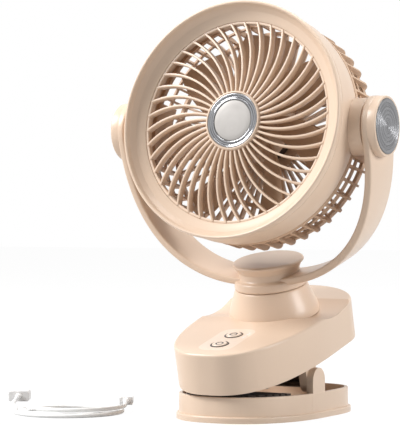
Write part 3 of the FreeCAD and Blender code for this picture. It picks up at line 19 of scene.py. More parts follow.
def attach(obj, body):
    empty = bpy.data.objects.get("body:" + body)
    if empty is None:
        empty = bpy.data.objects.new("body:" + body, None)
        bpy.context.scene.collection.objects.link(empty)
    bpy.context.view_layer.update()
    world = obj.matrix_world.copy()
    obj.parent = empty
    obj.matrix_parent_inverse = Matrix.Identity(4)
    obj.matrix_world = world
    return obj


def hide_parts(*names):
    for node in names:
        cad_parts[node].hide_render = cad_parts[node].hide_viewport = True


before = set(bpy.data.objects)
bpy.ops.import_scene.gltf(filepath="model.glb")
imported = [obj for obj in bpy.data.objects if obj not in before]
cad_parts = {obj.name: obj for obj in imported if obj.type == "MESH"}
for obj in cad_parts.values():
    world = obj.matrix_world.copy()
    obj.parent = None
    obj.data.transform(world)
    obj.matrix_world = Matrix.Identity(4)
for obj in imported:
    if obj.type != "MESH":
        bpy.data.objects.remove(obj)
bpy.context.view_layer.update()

log = logging.getLogger("camping_fan")
Point = tuple[float, float, float]
Colour = tuple[float, float, float, float]
Profile = Sequence[tuple[float, float]]

MM = 0.001
ON_AXIS = 1e-9
SAME_POINT = 1e-7
LOOSE_POINT = 2e-6
FLAT_ANGLE = 0.4
TURNED_CORNER = 14.0
MOULDED_CORNER = 35.0
PURE_WHITE: Colour = (1.0, 1.0, 1.0, 1.0)


class Axis(Enum):
    """Which way a turned piece's own axis points once it is placed."""

    UP = Matrix.Identity(4)
    FORWARD = Matrix.Rotation(math.radians(90), 4, "X")
    RIGHT = Matrix.Rotation(math.radians(90), 4, "Y")
    LEFT = Matrix.Rotation(math.radians(-90), 4, "Y")


@dataclass(frozen=True)
class Stance:
    """How the deck, the yoke and the head stand in the frame."""

    deck_lean: float = 14.7
    head_tilt: float = -10.5
    deck_foot: Point = (0.0, 21.1, 74.9)
    pivot_height: float = 134.0

    @property
    def deck(self) -> Matrix:
        """From deck coordinates to the frame."""
        lean = Matrix.Rotation(math.radians(self.deck_lean), 4, "X")
        return Matrix.Translation(Vector(self.deck_foot) * MM) @ lean

    @property
    def yoke(self) -> Matrix:
        """From yoke coordinates, with the pivot axis through their origin, to the frame."""
        return self.deck @ Matrix.Translation((0.0, 0.0, self.pivot_height * MM))

    @property
    def head(self) -> Matrix:
        """From head coordinates, with the front towards -Y, to the frame."""
        place = self.yoke.translation
        return Matrix.Translation(place) @ Matrix.Rotation(math.radians(self.head_tilt), 4, "X")


STANCE = Stance()


def facing(place: Point, aim: Point) -> Matrix:
    """A place in the frame, turned so that its -Z axis points at an aim."""
    way = Vector(aim) - Vector(place)
    return Matrix.Translation(place) @ way.to_track_quat("-Z", "Y").to_matrix().to_4x4()


def linear(colour: tuple[int, int, int]) -> Colour:
    """An 8-bit screen colour as a linear colour, by the usual screen curve.

    Args:
        colour: Red, green and blue from 0 to 255.

    Returns:
        Linear red, green, blue and an alpha of 1.
    """
    shares = [c / 255 for c in colour]
    values = [s / 12.92 if s <= 0.04045 else ((s + 0.055) / 1.055) ** 2.4 for s in shares]
    return (values[0], values[1], values[2], 1.0)


class Graph:
    """A small helper that places shader nodes and joins them."""

    def __init__(self, tree: bpy.types.NodeTree) -> None:
        """Start on an empty or emptied tree."""
        self.tree = tree

    def node(self, kind: str, **inputs: object) -> bpy.types.Node:
        """Add a node.

        Args:
            kind: The node's type name.
            **inputs: Values or output sockets by input name, with spaces written as underscores.

        Returns:
            The new node.
        """
        made = self.tree.nodes.new(kind)
        for name, value in inputs.items():
            self.join(value, made.inputs[name.replace("_", " ")])
        return made

    def join(self, value: object, socket: bpy.types.NodeSocket) -> None:
        """Feed a socket with a value or with another node's output.

        Args:
            value: A plain value or an output socket.
            socket: The input socket that takes it.
        """
        if isinstance(value, bpy.types.NodeSocket):
            self.tree.links.new(value, socket)
        else:
            socket.default_value = value

    def maths(self, operation: str, first: object, second: object = 0.0) -> bpy.types.NodeSocket:
        """One sum on two numbers or sockets.

        Args:
            operation: The sum's type name.
            first: Number or output socket.
            second: Number or output socket.

        Returns:
            The result's socket.
        """
        made = self.tree.nodes.new("ShaderNodeMath")
        made.operation = operation
        self.join(first, made.inputs[0])
        self.join(second, made.inputs[1])
        return made.outputs[0]

    def spread(self, value: object, low: object, high: object) -> bpy.types.NodeSocket:
        """Carry a 0 to 1 value over to a range."""
        made = self.node("ShaderNodeMapRange", Value=value, To_Min=low, To_Max=high)
        return made.outputs["Result"]

    def mix(self, share: object, first: object, second: object) -> bpy.types.NodeSocket:
        """Mix two colours.

        Args:
            share: How much of the second colour shows, from 0 to 1.
            first: Colour or output socket.
            second: Colour or output socket.

        Returns:
            The mixed colour's socket.
        """
        made = self.tree.nodes.new("ShaderNodeMix")
        made.data_type = "RGBA"
        self.join(share, made.inputs["Factor"])
        self.join(first, made.inputs["A"])
        self.join(second, made.inputs["B"])
        return made.outputs["Result"]

    def noise(self, vector: object, scale: float, detail: float = 2.0) -> bpy.types.NodeSocket:
        """A noise value on a vector."""
        return self.node("ShaderNodeTexNoise", Vector=vector, Scale=scale, Detail=detail).outputs["Fac"]

    def seen(self) -> bpy.types.NodeSocket:
        """1 on rays that show the background: from the camera, off gloss or through glass."""
        path = self.node("ShaderNodeLightPath").outputs
        glossy = self.maths("MAXIMUM", path["Is Glossy Ray"], path["Is Transmission Ray"])
        return self.maths("MAXIMUM", path["Is Camera Ray"], glossy)

    def blend(self, share: object, first: bpy.types.Node, second: bpy.types.Node,
              output: bpy.types.Node) -> None:
        """Mix two shader nodes into an output node.

        Args:
            share: How much of the second shader shows, from 0 to 1.
            first: Shader node.
            second: Shader node.
            output: The material's or the world's output node.
        """
        made = self.node("ShaderNodeMixShader", Fac=share)
        self.join(first.outputs[0], made.inputs[1])
        self.join(second.outputs[0], made.inputs[2])
        self.join(made.outputs[0], output.inputs["Surface"])


def group(name: str, inputs: dict[str, object], outputs: dict[str, str],
          fill: Callable[[Graph, bpy.types.Node, bpy.types.Node], None]) -> bpy.types.NodeTree:
    """A node group, made once.

    Args:
        name: The group's name.
        inputs: Default value by input name; a tuple of four is a colour, the word VECTOR a vector.
        outputs: Socket type by output name.
        fill: A function that fills the group between its input and output nodes.

    Returns:
        The node group.
    """
    if name in bpy.data.node_groups:
        return bpy.data.node_groups[name]
    tree = bpy.data.node_groups.new(name, "ShaderNodeTree")
    for label, value in inputs.items():
        kind = "NodeSocketVector" if value == "VECTOR" else (
            "NodeSocketColor" if isinstance(value, tuple) else "NodeSocketFloat")
        socket = tree.interface.new_socket(name=label, in_out="INPUT", socket_type=kind)
        if value != "VECTOR":
            socket.default_value = value
    for label, kind in outputs.items():
        tree.interface.new_socket(name=label, in_out="OUTPUT", socket_type=kind)
    graph = Graph(tree)
    fill(graph, tree.nodes.new("NodeGroupInput"), tree.nodes.new("NodeGroupOutput"))
    return tree


SURFACE = {"Colour": "NodeSocketColor", "Roughness": "NodeSocketFloat", "Normal": "NodeSocketVector"}
DRIFT_SCALE, GRAIN_SCALE, SHEEN_SCALE = 22.0, 2600.0, 95.0
GRAIN_HEIGHT = 0.00012
CIRCLE_SCALE, BAND_SCALE, POLISH_SCALE = 5200.0, 420.0, 60.0
CIRCLE_HEIGHT = 0.00002


def moulded_surface() -> bpy.types.NodeTree:
    """Moulded plastic: faint colour drift, fine spark-eroded grain and uneven sheen."""
    def fill(graph: Graph, given: bpy.types.Node, wanted: bpy.types.Node) -> None:
        """Fill the group.

        Args:
            graph: The group's graph.
            given: Its input node.
            wanted: Its output node.
        """
        values, results = given.outputs, wanted.inputs
        place = graph.node("ShaderNodeTexCoord").outputs["Object"]
        drift = graph.noise(place, DRIFT_SCALE, 3.0)
        grain = graph.noise(place, GRAIN_SCALE, 2.0)
        smear = graph.noise(place, SHEEN_SCALE, 4.0)
        share = graph.maths("MULTIPLY", drift, values["Drift"])
        graph.join(graph.mix(share, values["Colour"], values["Shade"]), results["Colour"])
        low = graph.maths("SUBTRACT", values["Roughness"], values["Sheen Spread"])
        high = graph.maths("ADD", values["Roughness"], values["Sheen Spread"])
        graph.join(graph.spread(smear, low, high), results["Roughness"])
        bump = graph.node("ShaderNodeBump", Strength=values["Grain"], Distance=GRAIN_HEIGHT, Height=grain)
        graph.join(bump.outputs["Normal"], results["Normal"])

    return group("moulded_surface", {
        "Colour": (0.8, 0.7, 0.6, 1.0), "Shade": (0.7, 0.6, 0.5, 1.0), "Drift": 0.4, "Roughness": 0.4,
        "Sheen Spread": 0.05, "Grain": 0.1}, SURFACE, fill)


def turned_metal() -> bpy.types.NodeTree:
    """Metal finished on a lathe: fine circles about the X axis of the given vector, and colour bands across
    the radius that are tone on plain metal and painted dark reflection rings where the second colour is dark.
    """
    def fill(graph: Graph, given: bpy.types.Node, wanted: bpy.types.Node) -> None:
        """Fill the group.

        Args:
            graph: The group's graph.
            given: Its input node.
            wanted: Its output node.
        """
        values, results = given.outputs, wanted.inputs
        parts = graph.node("ShaderNodeSeparateXYZ", Vector=values["Vector"])
        across = graph.maths("MULTIPLY", parts.outputs["Y"], parts.outputs["Y"])
        up = graph.maths("MULTIPLY", parts.outputs["Z"], parts.outputs["Z"])
        radius = graph.maths("SQRT", graph.maths("ADD", across, up))
        line = graph.node("ShaderNodeCombineXYZ", X=radius, Y=parts.outputs["X"]).outputs["Vector"]
        rings = graph.noise(line, CIRCLE_SCALE, 1.0)
        # Colour bands across the radius: tone on plain metal, painted dark reflections on the chrome ring and
        # the pivot discs.
        tone_and_reflection_bands = graph.noise(line, BAND_SCALE, 2.0)
        smear = graph.noise(values["Vector"], POLISH_SCALE, 3.0)
        share = graph.maths("MULTIPLY", tone_and_reflection_bands, values["Banding"])
        graph.join(graph.mix(share, values["Colour"], values["Shade"]), results["Colour"])
        high = graph.maths("ADD", values["Roughness"], values["Roughness"])
        graph.join(graph.spread(smear, values["Roughness"], high), results["Roughness"])
        bump = graph.node("ShaderNodeBump", Strength=values["Circles"], Distance=CIRCLE_HEIGHT, Height=rings)
        graph.join(bump.outputs["Normal"], results["Normal"])

    return group("turned_metal", {
        "Vector": "VECTOR", "Colour": (0.8, 0.8, 0.8, 1.0), "Shade": (0.5, 0.5, 0.5, 1.0), "Banding": 0.3,
        "Roughness": 0.15, "Circles": 0.3}, SURFACE, fill)


class Finish:
    """What every finish shares: a material made once."""

    name: str

    def material(self) -> bpy.types.Material:
        """The finish as a material, made on first use."""
        if self.name in bpy.data.materials:
            return bpy.data.materials[self.name]
        made = bpy.data.materials.new(self.name)
        made.use_nodes = True
        graph = Graph(made.node_tree)
        self.dress(graph, made.node_tree.nodes["Principled BSDF"])
        return made

    def dress(self, graph: Graph, shader: bpy.types.Node) -> None:
        """Feed the shader of a new material."""
        raise NotImplementedError

    def surface(self, graph: Graph, shader: bpy.types.Node, tree: bpy.types.NodeTree,
                values: dict[str, object]) -> None:
        """Place a surface group and join it to the shader.

        Args:
            graph: The material's graph.
            shader: Its Principled BSDF.
            tree: The node group.
            values: Values or sockets by input name.
        """
        made = graph.tree.nodes.new("ShaderNodeGroup")
        made.node_tree = tree
        for label, value in values.items():
            graph.join(value, made.inputs[label])
        graph.join(made.outputs["Colour"], shader.inputs["Base Color"])
        graph.join(made.outputs["Roughness"], shader.inputs["Roughness"])
        graph.join(made.outputs["Normal"], shader.inputs["Normal"])


@dataclass(frozen=True)
class Moulded(Finish):
    """A moulded plastic or rubber."""

    name: str
    colour: tuple[int, int, int]
    shade: tuple[int, int, int]
    roughness: float = 0.4
    grain: float = 0.12
    drift: float = 0.5
    spread: float = 0.05
    coat: float = 0.0
    coat_roughness: float = 0.25

    def dress(self, graph: Graph, shader: bpy.types.Node) -> None:
        """Feed the shader of a new material.

        Args:
            graph: The material's graph.
            shader: Its Principled BSDF.
        """
        self.surface(graph, shader, moulded_surface(), {
            "Colour": linear(self.colour), "Shade": linear(self.shade), "Drift": self.drift,
            "Roughness": self.roughness, "Sheen Spread": self.spread, "Grain": self.grain})
        shader.inputs["Coat Weight"].default_value = self.coat
        shader.inputs["Coat Roughness"].default_value = self.coat_roughness


@dataclass(frozen=True)
class Turned(Finish):
    """A metal with fine circles about an axis, or plain where the axis is far off; its colour bands paint
    dark reflection rings on the chrome ring and the pivot discs.
    """

    name: str
    colour: tuple[int, int, int]
    shade: tuple[int, int, int]
    roughness: float = 0.12
    circles: float = 0.3
    banding: float = 0.3
    centre: Point = (0.0, 0.0, 0.0)
    turn: Point = (0.0, 0.0, 0.0)

    def dress(self, graph: Graph, shader: bpy.types.Node) -> None:
        """Feed the shader of a new material.

        Args:
            graph: The material's graph.
            shader: Its Principled BSDF.
        """
        place = graph.node("ShaderNodeTexCoord").outputs["Object"]
        mapping = graph.tree.nodes.new("ShaderNodeMapping")
        mapping.vector_type = "TEXTURE"
        graph.join(place, mapping.inputs["Vector"])
        mapping.inputs["Location"].default_value = self.centre
        mapping.inputs["Rotation"].default_value = self.turn
        self.surface(graph, shader, turned_metal(), {
            "Vector": mapping.outputs["Vector"], "Colour": linear(self.colour), "Shade": linear(self.shade),
            "Banding": self.banding, "Roughness": self.roughness, "Circles": self.circles})
        shader.inputs["Metallic"].default_value = 1.0


PIVOT_PLACE = tuple(STANCE.head.translation)
HUB_TURN = (math.radians(STANCE.head_tilt), 0.0, math.radians(90))
CREAM = Moulded("cream_shell", (222, 198, 176), (214, 188, 165), roughness=0.33, grain=0.1)
# Painted shade: a darker, rougher copy of the cream plastic for the rear cage, the impeller and the lower
# grip plate, where shade falls.
CREAM_SHADED = Moulded("cream_painted_shade", (206, 176, 149), (192, 160, 133), roughness=0.5, grain=0.2)
# Painted light: a lighter copy of the cream plastic for the top panel and the button caps, as the key lamp
# lights them.
LIT_PANEL = Moulded("panel_painted_light", (230, 211, 194), (224, 203, 184), roughness=0.3, grain=0.05)
RUBBER = Moulded("grip_rubber", (62, 50, 43), (44, 36, 31), roughness=0.75, grain=0.6, spread=0.12)
DARK = Moulded("dark_gloss", (44, 32, 26), (32, 24, 20), roughness=0.22, grain=0.03, coat=0.4)
MOTOR = Moulded("motor_enamel", (52, 42, 37), (40, 32, 28), roughness=0.45, grain=0.2)
CELL = Moulded("cell_wrap", (70, 120, 170), (60, 104, 150), roughness=0.3, grain=0.03)
BOARD = Moulded("circuit_board", (38, 92, 58), (28, 74, 46), roughness=0.35, grain=0.1)
LENS = Moulded("light_lens", (150, 126, 106), (120, 98, 80), roughness=0.15, grain=0.02, coat=0.5)
WHITE = Moulded("plug_white", (240, 239, 238), (230, 229, 228), roughness=0.35, grain=0.05)
CORD_WHITE = Moulded("cord_white", (243, 243, 242), (232, 232, 231), roughness=0.42, grain=0.08, drift=0.7)
NYLON = Moulded("nylon_washer", (236, 230, 220), (222, 214, 202), roughness=0.5, grain=0.1)
STEEL = Turned("plain_steel", (196, 196, 198), (150, 150, 153), roughness=0.22, circles=0.1)
COPPER = Turned("copper_wire", (200, 116, 72), (150, 80, 50), roughness=0.3, circles=0.5)
# Painted reflection: the dark second colour, strongly banded, draws dark reflection arcs on the chrome ring.
CHROME_WITH_PAINTED_ARCS = Turned("hub_chrome", (180, 180, 182), (96, 96, 100), roughness=0.06, circles=0.05, banding=0.6,
                centre=PIVOT_PLACE, turn=HUB_TURN)
SILVER = Turned("hub_silver", (138, 135, 132), (118, 115, 112), roughness=0.34, circles=0.15, banding=0.3,
                centre=PIVOT_PLACE, turn=HUB_TURN)
# Painted reflection: the nearly black second colour, strongly banded, draws dark rings on the pivot discs
# over their real grooves.
RINGED_WITH_PAINTED_REFLECTION = Turned("pivot_painted_reflection_rings", (180, 180, 182), (44, 44, 48), roughness=0.16, circles=0.15, banding=0.9,
                centre=PIVOT_PLACE)


class Piece:
    """A bmesh on its way to becoming one finished object."""

    def __init__(self) -> None:
        """Start with an empty mesh."""
        self.bm = bmesh.new()

    def turn(self, profile: Profile, steps: int, round_over: float) -> Piece:
        """Spin a profile about Z into a closed solid.

        Args:
            profile: Radius and height of each corner, in millimetres.
            steps: Sides of the turned piece.
            round_over: Radius of the rounding on its corners, in millimetres.

        Returns:
            This piece.
        """
        verts = [self.bm.verts.new((r * MM, 0.0, z * MM)) for r, z in profile]
        pairs = zip(verts, verts[1:] + verts[:1])
        edges = [self.bm.edges.new(pair) for pair in pairs if max(v.co.x for v in pair) > ON_AXIS]
        bmesh.ops.spin(self.bm, geom=verts + edges, cent=(0, 0, 0), axis=(0, 0, 1), dvec=(0, 0, 0),
                       angle=math.tau, steps=steps, use_merge=True, use_duplicate=False)
        bmesh.ops.remove_doubles(self.bm, verts=self.bm.verts, dist=SAME_POINT)
        bmesh.ops.recalc_face_normals(self.bm, faces=self.bm.faces)
        return self.round_edges(round_over, TURNED_CORNER, 3)

    def sweep(self, rings: Sequence[Sequence[Vector]]) -> Piece:
        """Draw a closed ring of points along further rings of as many points, and close both ends.

        Args:
            rings: The rings in order, in metres.

        Returns:
            This piece.
        """
        verts = [self.bm.verts.new(point) for point in rings[0]]
        edges = [self.bm.edges.new(pair) for pair in zip(verts, verts[1:] + verts[:1])]
        for ring in rings[1:]:
            geom = bmesh.ops.extrude_edge_only(self.bm, edges=edges)["geom"]
            fresh = {g for g in geom if isinstance(g, bmesh.types.BMVert)}
            edges = [g for g in geom if isinstance(g, bmesh.types.BMEdge)]
            verts = [next(e.other_vert(v) for e in v.link_edges if e.other_vert(v) in fresh) for v in verts]
            for vert, point in zip(verts, ring):
                vert.co = point
        bmesh.ops.holes_fill(self.bm, edges=self.bm.edges[:], sides=0)
        bmesh.ops.recalc_face_normals(self.bm, faces=self.bm.faces)
        return self

    def copy_node(self, node: str) -> Piece:
        """Take over a solid's mesh, with its loose triangles merged and its flat faces made whole.

        Args:
            node: The solid's node.

        Returns:
            This piece.
        """
        self.bm.from_mesh(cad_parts[node].data)
        bmesh.ops.remove_doubles(self.bm, verts=self.bm.verts, dist=LOOSE_POINT)
        bmesh.ops.dissolve_limit(self.bm, angle_limit=math.radians(FLAT_ANGLE), verts=self.bm.verts,
                                 edges=self.bm.edges)
        return self

    def round_edges(self, radius: float, angle: float, segments: int) -> Piece:
        """Round every edge that turns by more than an angle.

        Args:
            radius: Radius of the rounding in millimetres.
            angle: Least turn of an edge that is rounded, in degrees.
            segments: Steps of the rounding.

        Returns:
            This piece.
        """
        least = math.radians(angle)
        edges = [e for e in self.bm.edges if e.is_manifold and e.calc_face_angle(0.0) > least]
        bmesh.ops.bevel(self.bm, geom=edges, offset=radius * MM, offset_type="OFFSET", segments=segments,
                        profile=0.5, affect="EDGES", clamp_overlap=True, material=-1)
        return self

    def moved(self, matrix: Matrix) -> Piece:
        """Move the whole mesh."""
        bmesh.ops.transform(self.bm, matrix=matrix, verts=self.bm.verts)
        return self

    def ringed(self, count: int, axis: Point) -> Piece:
        """Repeat the mesh evenly about an axis.

        Args:
            count: How many there are in all.
            axis: The axis, through the origin.

        Returns:
            This piece.
        """
        geom = self.bm.verts[:] + self.bm.edges[:] + self.bm.faces[:]
        angle = math.tau * (count - 1) / count
        bmesh.ops.spin(self.bm, geom=geom, cent=(0, 0, 0), axis=axis, dvec=(0, 0, 0), angle=angle,
                       steps=count - 1, use_merge=False, use_duplicate=True)
        return self

    def take(self, other: Piece) -> Piece:
        """Add another piece's mesh to this one, and give up the other.

        Args:
            other: The piece that is taken over.

        Returns:
            This piece.
        """
        mesh = bpy.data.meshes.new("taken_over")
        other.bm.to_mesh(mesh)
        other.bm.free()
        self.bm.from_mesh(mesh)
        bpy.data.meshes.remove(mesh)
        return self

    def finish(self, name: str, finish: Finish, body: str, slot: str, replaces: Iterable[str] = (),
               sharp: float = 40.0, weighted: bool = False) -> bpy.types.Object:
        """Make the object, dress it and say what it rides on and stands for.

        Args:
            name: The piece's name.
            finish: Its finish.
            body: The body that it rides on.
            slot: Not used.
            replaces: Solids that it stands for.
            sharp: Edges that turn by more degrees than this stay sharp.
            weighted: Let the larger faces lead the shading.

        Returns:
            The finished object.
        """
        mesh = bpy.data.meshes.new(name)
        self.bm.to_mesh(mesh)
        self.bm.free()
        mesh.shade_smooth()
        mesh.set_sharp_from_angle(angle=math.radians(sharp))
        mesh.materials.append(finish.material())
        made = bpy.data.objects.new(name, mesh)
        bpy.context.scene.collection.objects.link(made)
        if weighted:
            modifier = made.modifiers.new("even_shading", "WEIGHTED_NORMAL")
            modifier.keep_sharp = True
        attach(made, body)
        nodes = list(replaces)
        if nodes:
            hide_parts(*nodes)
        log.info("%s: %d faces, rides on %s", name, len(mesh.polygons), body)
        return made


def turned_piece(name: str, profile: Profile, axis: Axis, stand: Matrix, finish: Finish, body: str, slot: str,
                 replaces: Iterable[str] = (), round_over: float = 0.4, steps: int = 128) -> bpy.types.Object:
    """A turned piece in one call.

    Args:
        name: The piece's name.
        profile: Radius and height of each corner, in millimetres.
        axis: Which way its axis points.
        stand: From its own coordinates to the frame.
        finish: Its finish.
        body: The body that it rides on.
        slot: Passed on to Piece.finish, which does not use it.
        replaces: Solids that it stands for.
        round_over: Radius of the rounding on its corners, in millimetres.
        steps: Sides of the turned piece.

    Returns:
        The finished object.
    """
    piece = Piece().turn(profile, steps, round_over).moved(stand @ axis.value)
    return piece.finish(name, finish, body, slot, replaces)


def softened(node: str, finish: Finish, body: str, slot: str, radius: float, segments: int = 2,
             angle: float = MOULDED_CORNER) -> bpy.types.Object:
    """A solid's own shape with its edges rounded as a moulding's are, in the solid's place."""
    piece = Piece().copy_node(node).round_edges(radius, angle, segments)
    return piece.finish(f"{node}_moulding", finish, body, slot, [node], weighted=True)


@dataclass(frozen=True)
class Softbox:
    """A square soft light that faces the fan, in metres and watts."""

    name: str
    place: Point
    size: float
    power: float


@dataclass
class Studio:
    """The camera, the floor and the soft lights, in metres."""

    camera_place: Point = (0.6773, -1.2735, 0.1440)
    camera_aim: Point = (-0.0322, -0.0313, 0.1451)
    lens: float = 180.1
    sensor: float = 36.0
    floor_half: float = 6.0
    floor_colour: Colour = (0.5, 0.5, 0.5, 1.0)
    floor_roughness: float = 0.9
    floor_glow: float = 1.11
    floor_share: float = 0.86
    fill_colour: Colour = (1.0, 0.98, 0.96, 1.0)
    fill_strength: float = 0.17
    light_aim: Point = (0.0, 0.0, 0.15)
    softboxes: tuple[Softbox, ...] = (
        Softbox("key_softbox", (-1.6, -1.2, 1.7), 1.0, 84.0),
        Softbox("top_softbox", (0.1, 0.3, 1.9), 0.9, 20.0),
        Softbox("right_softbox", (1.9, 0.3, 0.7), 0.8, 24.0))

    def build(self) -> None:
        """Set the whole studio up."""
        self.camera()
        self.floor()
        for softbox in self.softboxes:
            self.light(softbox)
        self.world()
        bpy.context.scene.view_settings.view_transform = "Standard"

    def camera(self) -> None:
        """The camera at the photograph's viewing angle."""
        data = bpy.data.cameras.new("photo_camera")
        data.lens = self.lens
        data.sensor_width = self.sensor
        data.sensor_fit = "HORIZONTAL"
        made = bpy.data.objects.new("photo_camera", data)
        made.matrix_world = facing(self.camera_place, self.camera_aim)
        bpy.context.scene.collection.objects.link(made)
        bpy.context.scene.camera = made

    def floor(self) -> None:
        """A white floor that keeps a faint shadow."""
        bm = bmesh.new()
        bmesh.ops.create_grid(bm, x_segments=1, y_segments=1, size=self.floor_half)
        mesh = bpy.data.meshes.new("studio_floor")
        bm.to_mesh(mesh)
        bm.free()
        made = bpy.data.objects.new("studio_floor", mesh)
        material = bpy.data.materials.new("studio_white")
        material.use_nodes = True
        graph = Graph(material.node_tree)
        nodes = material.node_tree.nodes
        shader = nodes["Principled BSDF"]
        shader.inputs["Base Color"].default_value = self.floor_colour
        shader.inputs["Roughness"].default_value = self.floor_roughness
        glow = graph.node("ShaderNodeEmission", Color=PURE_WHITE, Strength=self.floor_glow)
        share = graph.maths("MULTIPLY", graph.seen(), self.floor_share)
        graph.blend(share, shader, glow, nodes["Material Output"])
        mesh.materials.append(material)
        bpy.context.scene.collection.objects.link(made)

    def light(self, softbox: Softbox) -> None:
        """One soft light.

        Args:
            softbox: Its name, place, size and power.
        """
        data = bpy.data.lights.new(softbox.name, "AREA")
        data.size = softbox.size
        data.energy = softbox.power
        made = bpy.data.objects.new(softbox.name, data)
        made.matrix_world = facing(softbox.place, self.light_aim)
        bpy.context.scene.collection.objects.link(made)

    def world(self) -> None:
        """White where it is seen or mirrored, and a much dimmer fill as light."""
        world = bpy.data.worlds.new("studio_world")
        world.use_nodes = True
        graph = Graph(world.node_tree)
        nodes = world.node_tree.nodes
        fill = nodes["Background"]
        fill.inputs["Color"].default_value = self.fill_colour
        fill.inputs["Strength"].default_value = self.fill_strength
        plain = graph.node("ShaderNodeBackground", Color=PURE_WHITE, Strength=1.0)
        graph.blend(graph.seen(), fill, plain, nodes["World Output"])
        bpy.context.scene.world = world


@dataclass
class ChargingLead:
    """The charging lead, coiled flat on the table with a plug at each end."""

    diameter: float = 3.0
    radius: float = 40.0
    pitch: float = 3.6
    loops: int = 3
    steps: int = 16
    rise: float = 3.6
    climb: float = 6.5
    outward: tuple[tuple[float, float], ...] = ((0.35, 2.2), (0.65, 1.6))
    turn: float = 29.7
    place: Point = (-124.0, -61.0, 0.0)
    length: float = 0.891
    points_a: tuple[Point, ...] = (
        (-45.0, 80.0, 4.0), (-45.0, 65.0, 4.0), (-45.4, 48.0, 2.0), (-43.6, 32.0, 1.5), (-40.0, 17.0, 1.5),
        (-40.0, 3.0, 1.5))
    points_b: tuple[Point, ...] = (
        (40.0, 3.0, 5.1), (40.0, 14.0, 5.1), (39.2, 27.0, 3.9), (38.6, 40.0, 3.0), (38.6, 52.0, 3.0))

    def coil(self) -> list[Vector]:
        """Control points of the flat turns and of the half turn that rides over them."""
        out = 1 / math.cos(math.pi / self.steps)
        points = []
        for step in range(self.loops * self.steps + self.steps // 2):
            turns = (step + 0.5) / self.steps
            share = max(0.0, (turns - self.loops) * 2)
            radius = self.radius - self.pitch * min(turns, self.loops)
            radius += self.pitch * self.loops * sum(part * share ** power for part, power in self.outward)
            height = self.diameter / 2 + self.rise * min(1.0, share * self.climb)
            angle = turns * math.tau
            points.append(Vector((-radius * out * math.cos(angle), -radius * out * math.sin(angle), height)))
        return points

    def stand(self) -> Matrix:
        """From the coil's coordinates to the frame."""
        return Matrix.Translation(Vector(self.place) * MM) @ Matrix.Rotation(math.radians(self.turn), 4, "Z")

    def build(self) -> None:
        """Lay the cord and dress its plugs."""
        route = [Vector(p) for p in self.points_a] + self.coil() + [Vector(p) for p in self.points_b]
        stand = self.stand()
        data = bpy.data.curves.new("charging_cord", "CURVE")
        data.dimensions = "3D"
        spline = data.splines.new("NURBS")
        spline.points.add(len(route) - 1)
        for point, place in zip(spline.points, route):
            point.co = (*(stand @ (place * MM)), 1.0)
        spline.order_u = 3
        spline.use_endpoint_u = True
        data.bevel_depth = self.diameter / 2 * MM
        data.bevel_resolution = 4
        data.resolution_u = 6
        data.materials.append(CORD_WHITE.material())
        cord = bpy.data.objects.new("charging_cord", data)
        bpy.context.scene.collection.objects.link(cord)
        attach(cord, "base")
        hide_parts("cord_lead_a", "cord_coil", "cord_lead_b")
        for plug in ("usb_a_plug", "usb_c_plug"):
            softened(f"{plug}_body", WHITE, "base", "white_plastic", 0.5, 3)
            softened(f"{plug}_strain_relief", WHITE, "base", "white_plastic", 0.3)
            softened(f"{plug}_shell", STEEL, "base", "steel", 0.12)
        log.info("charging_cord: %d control points", len(route))


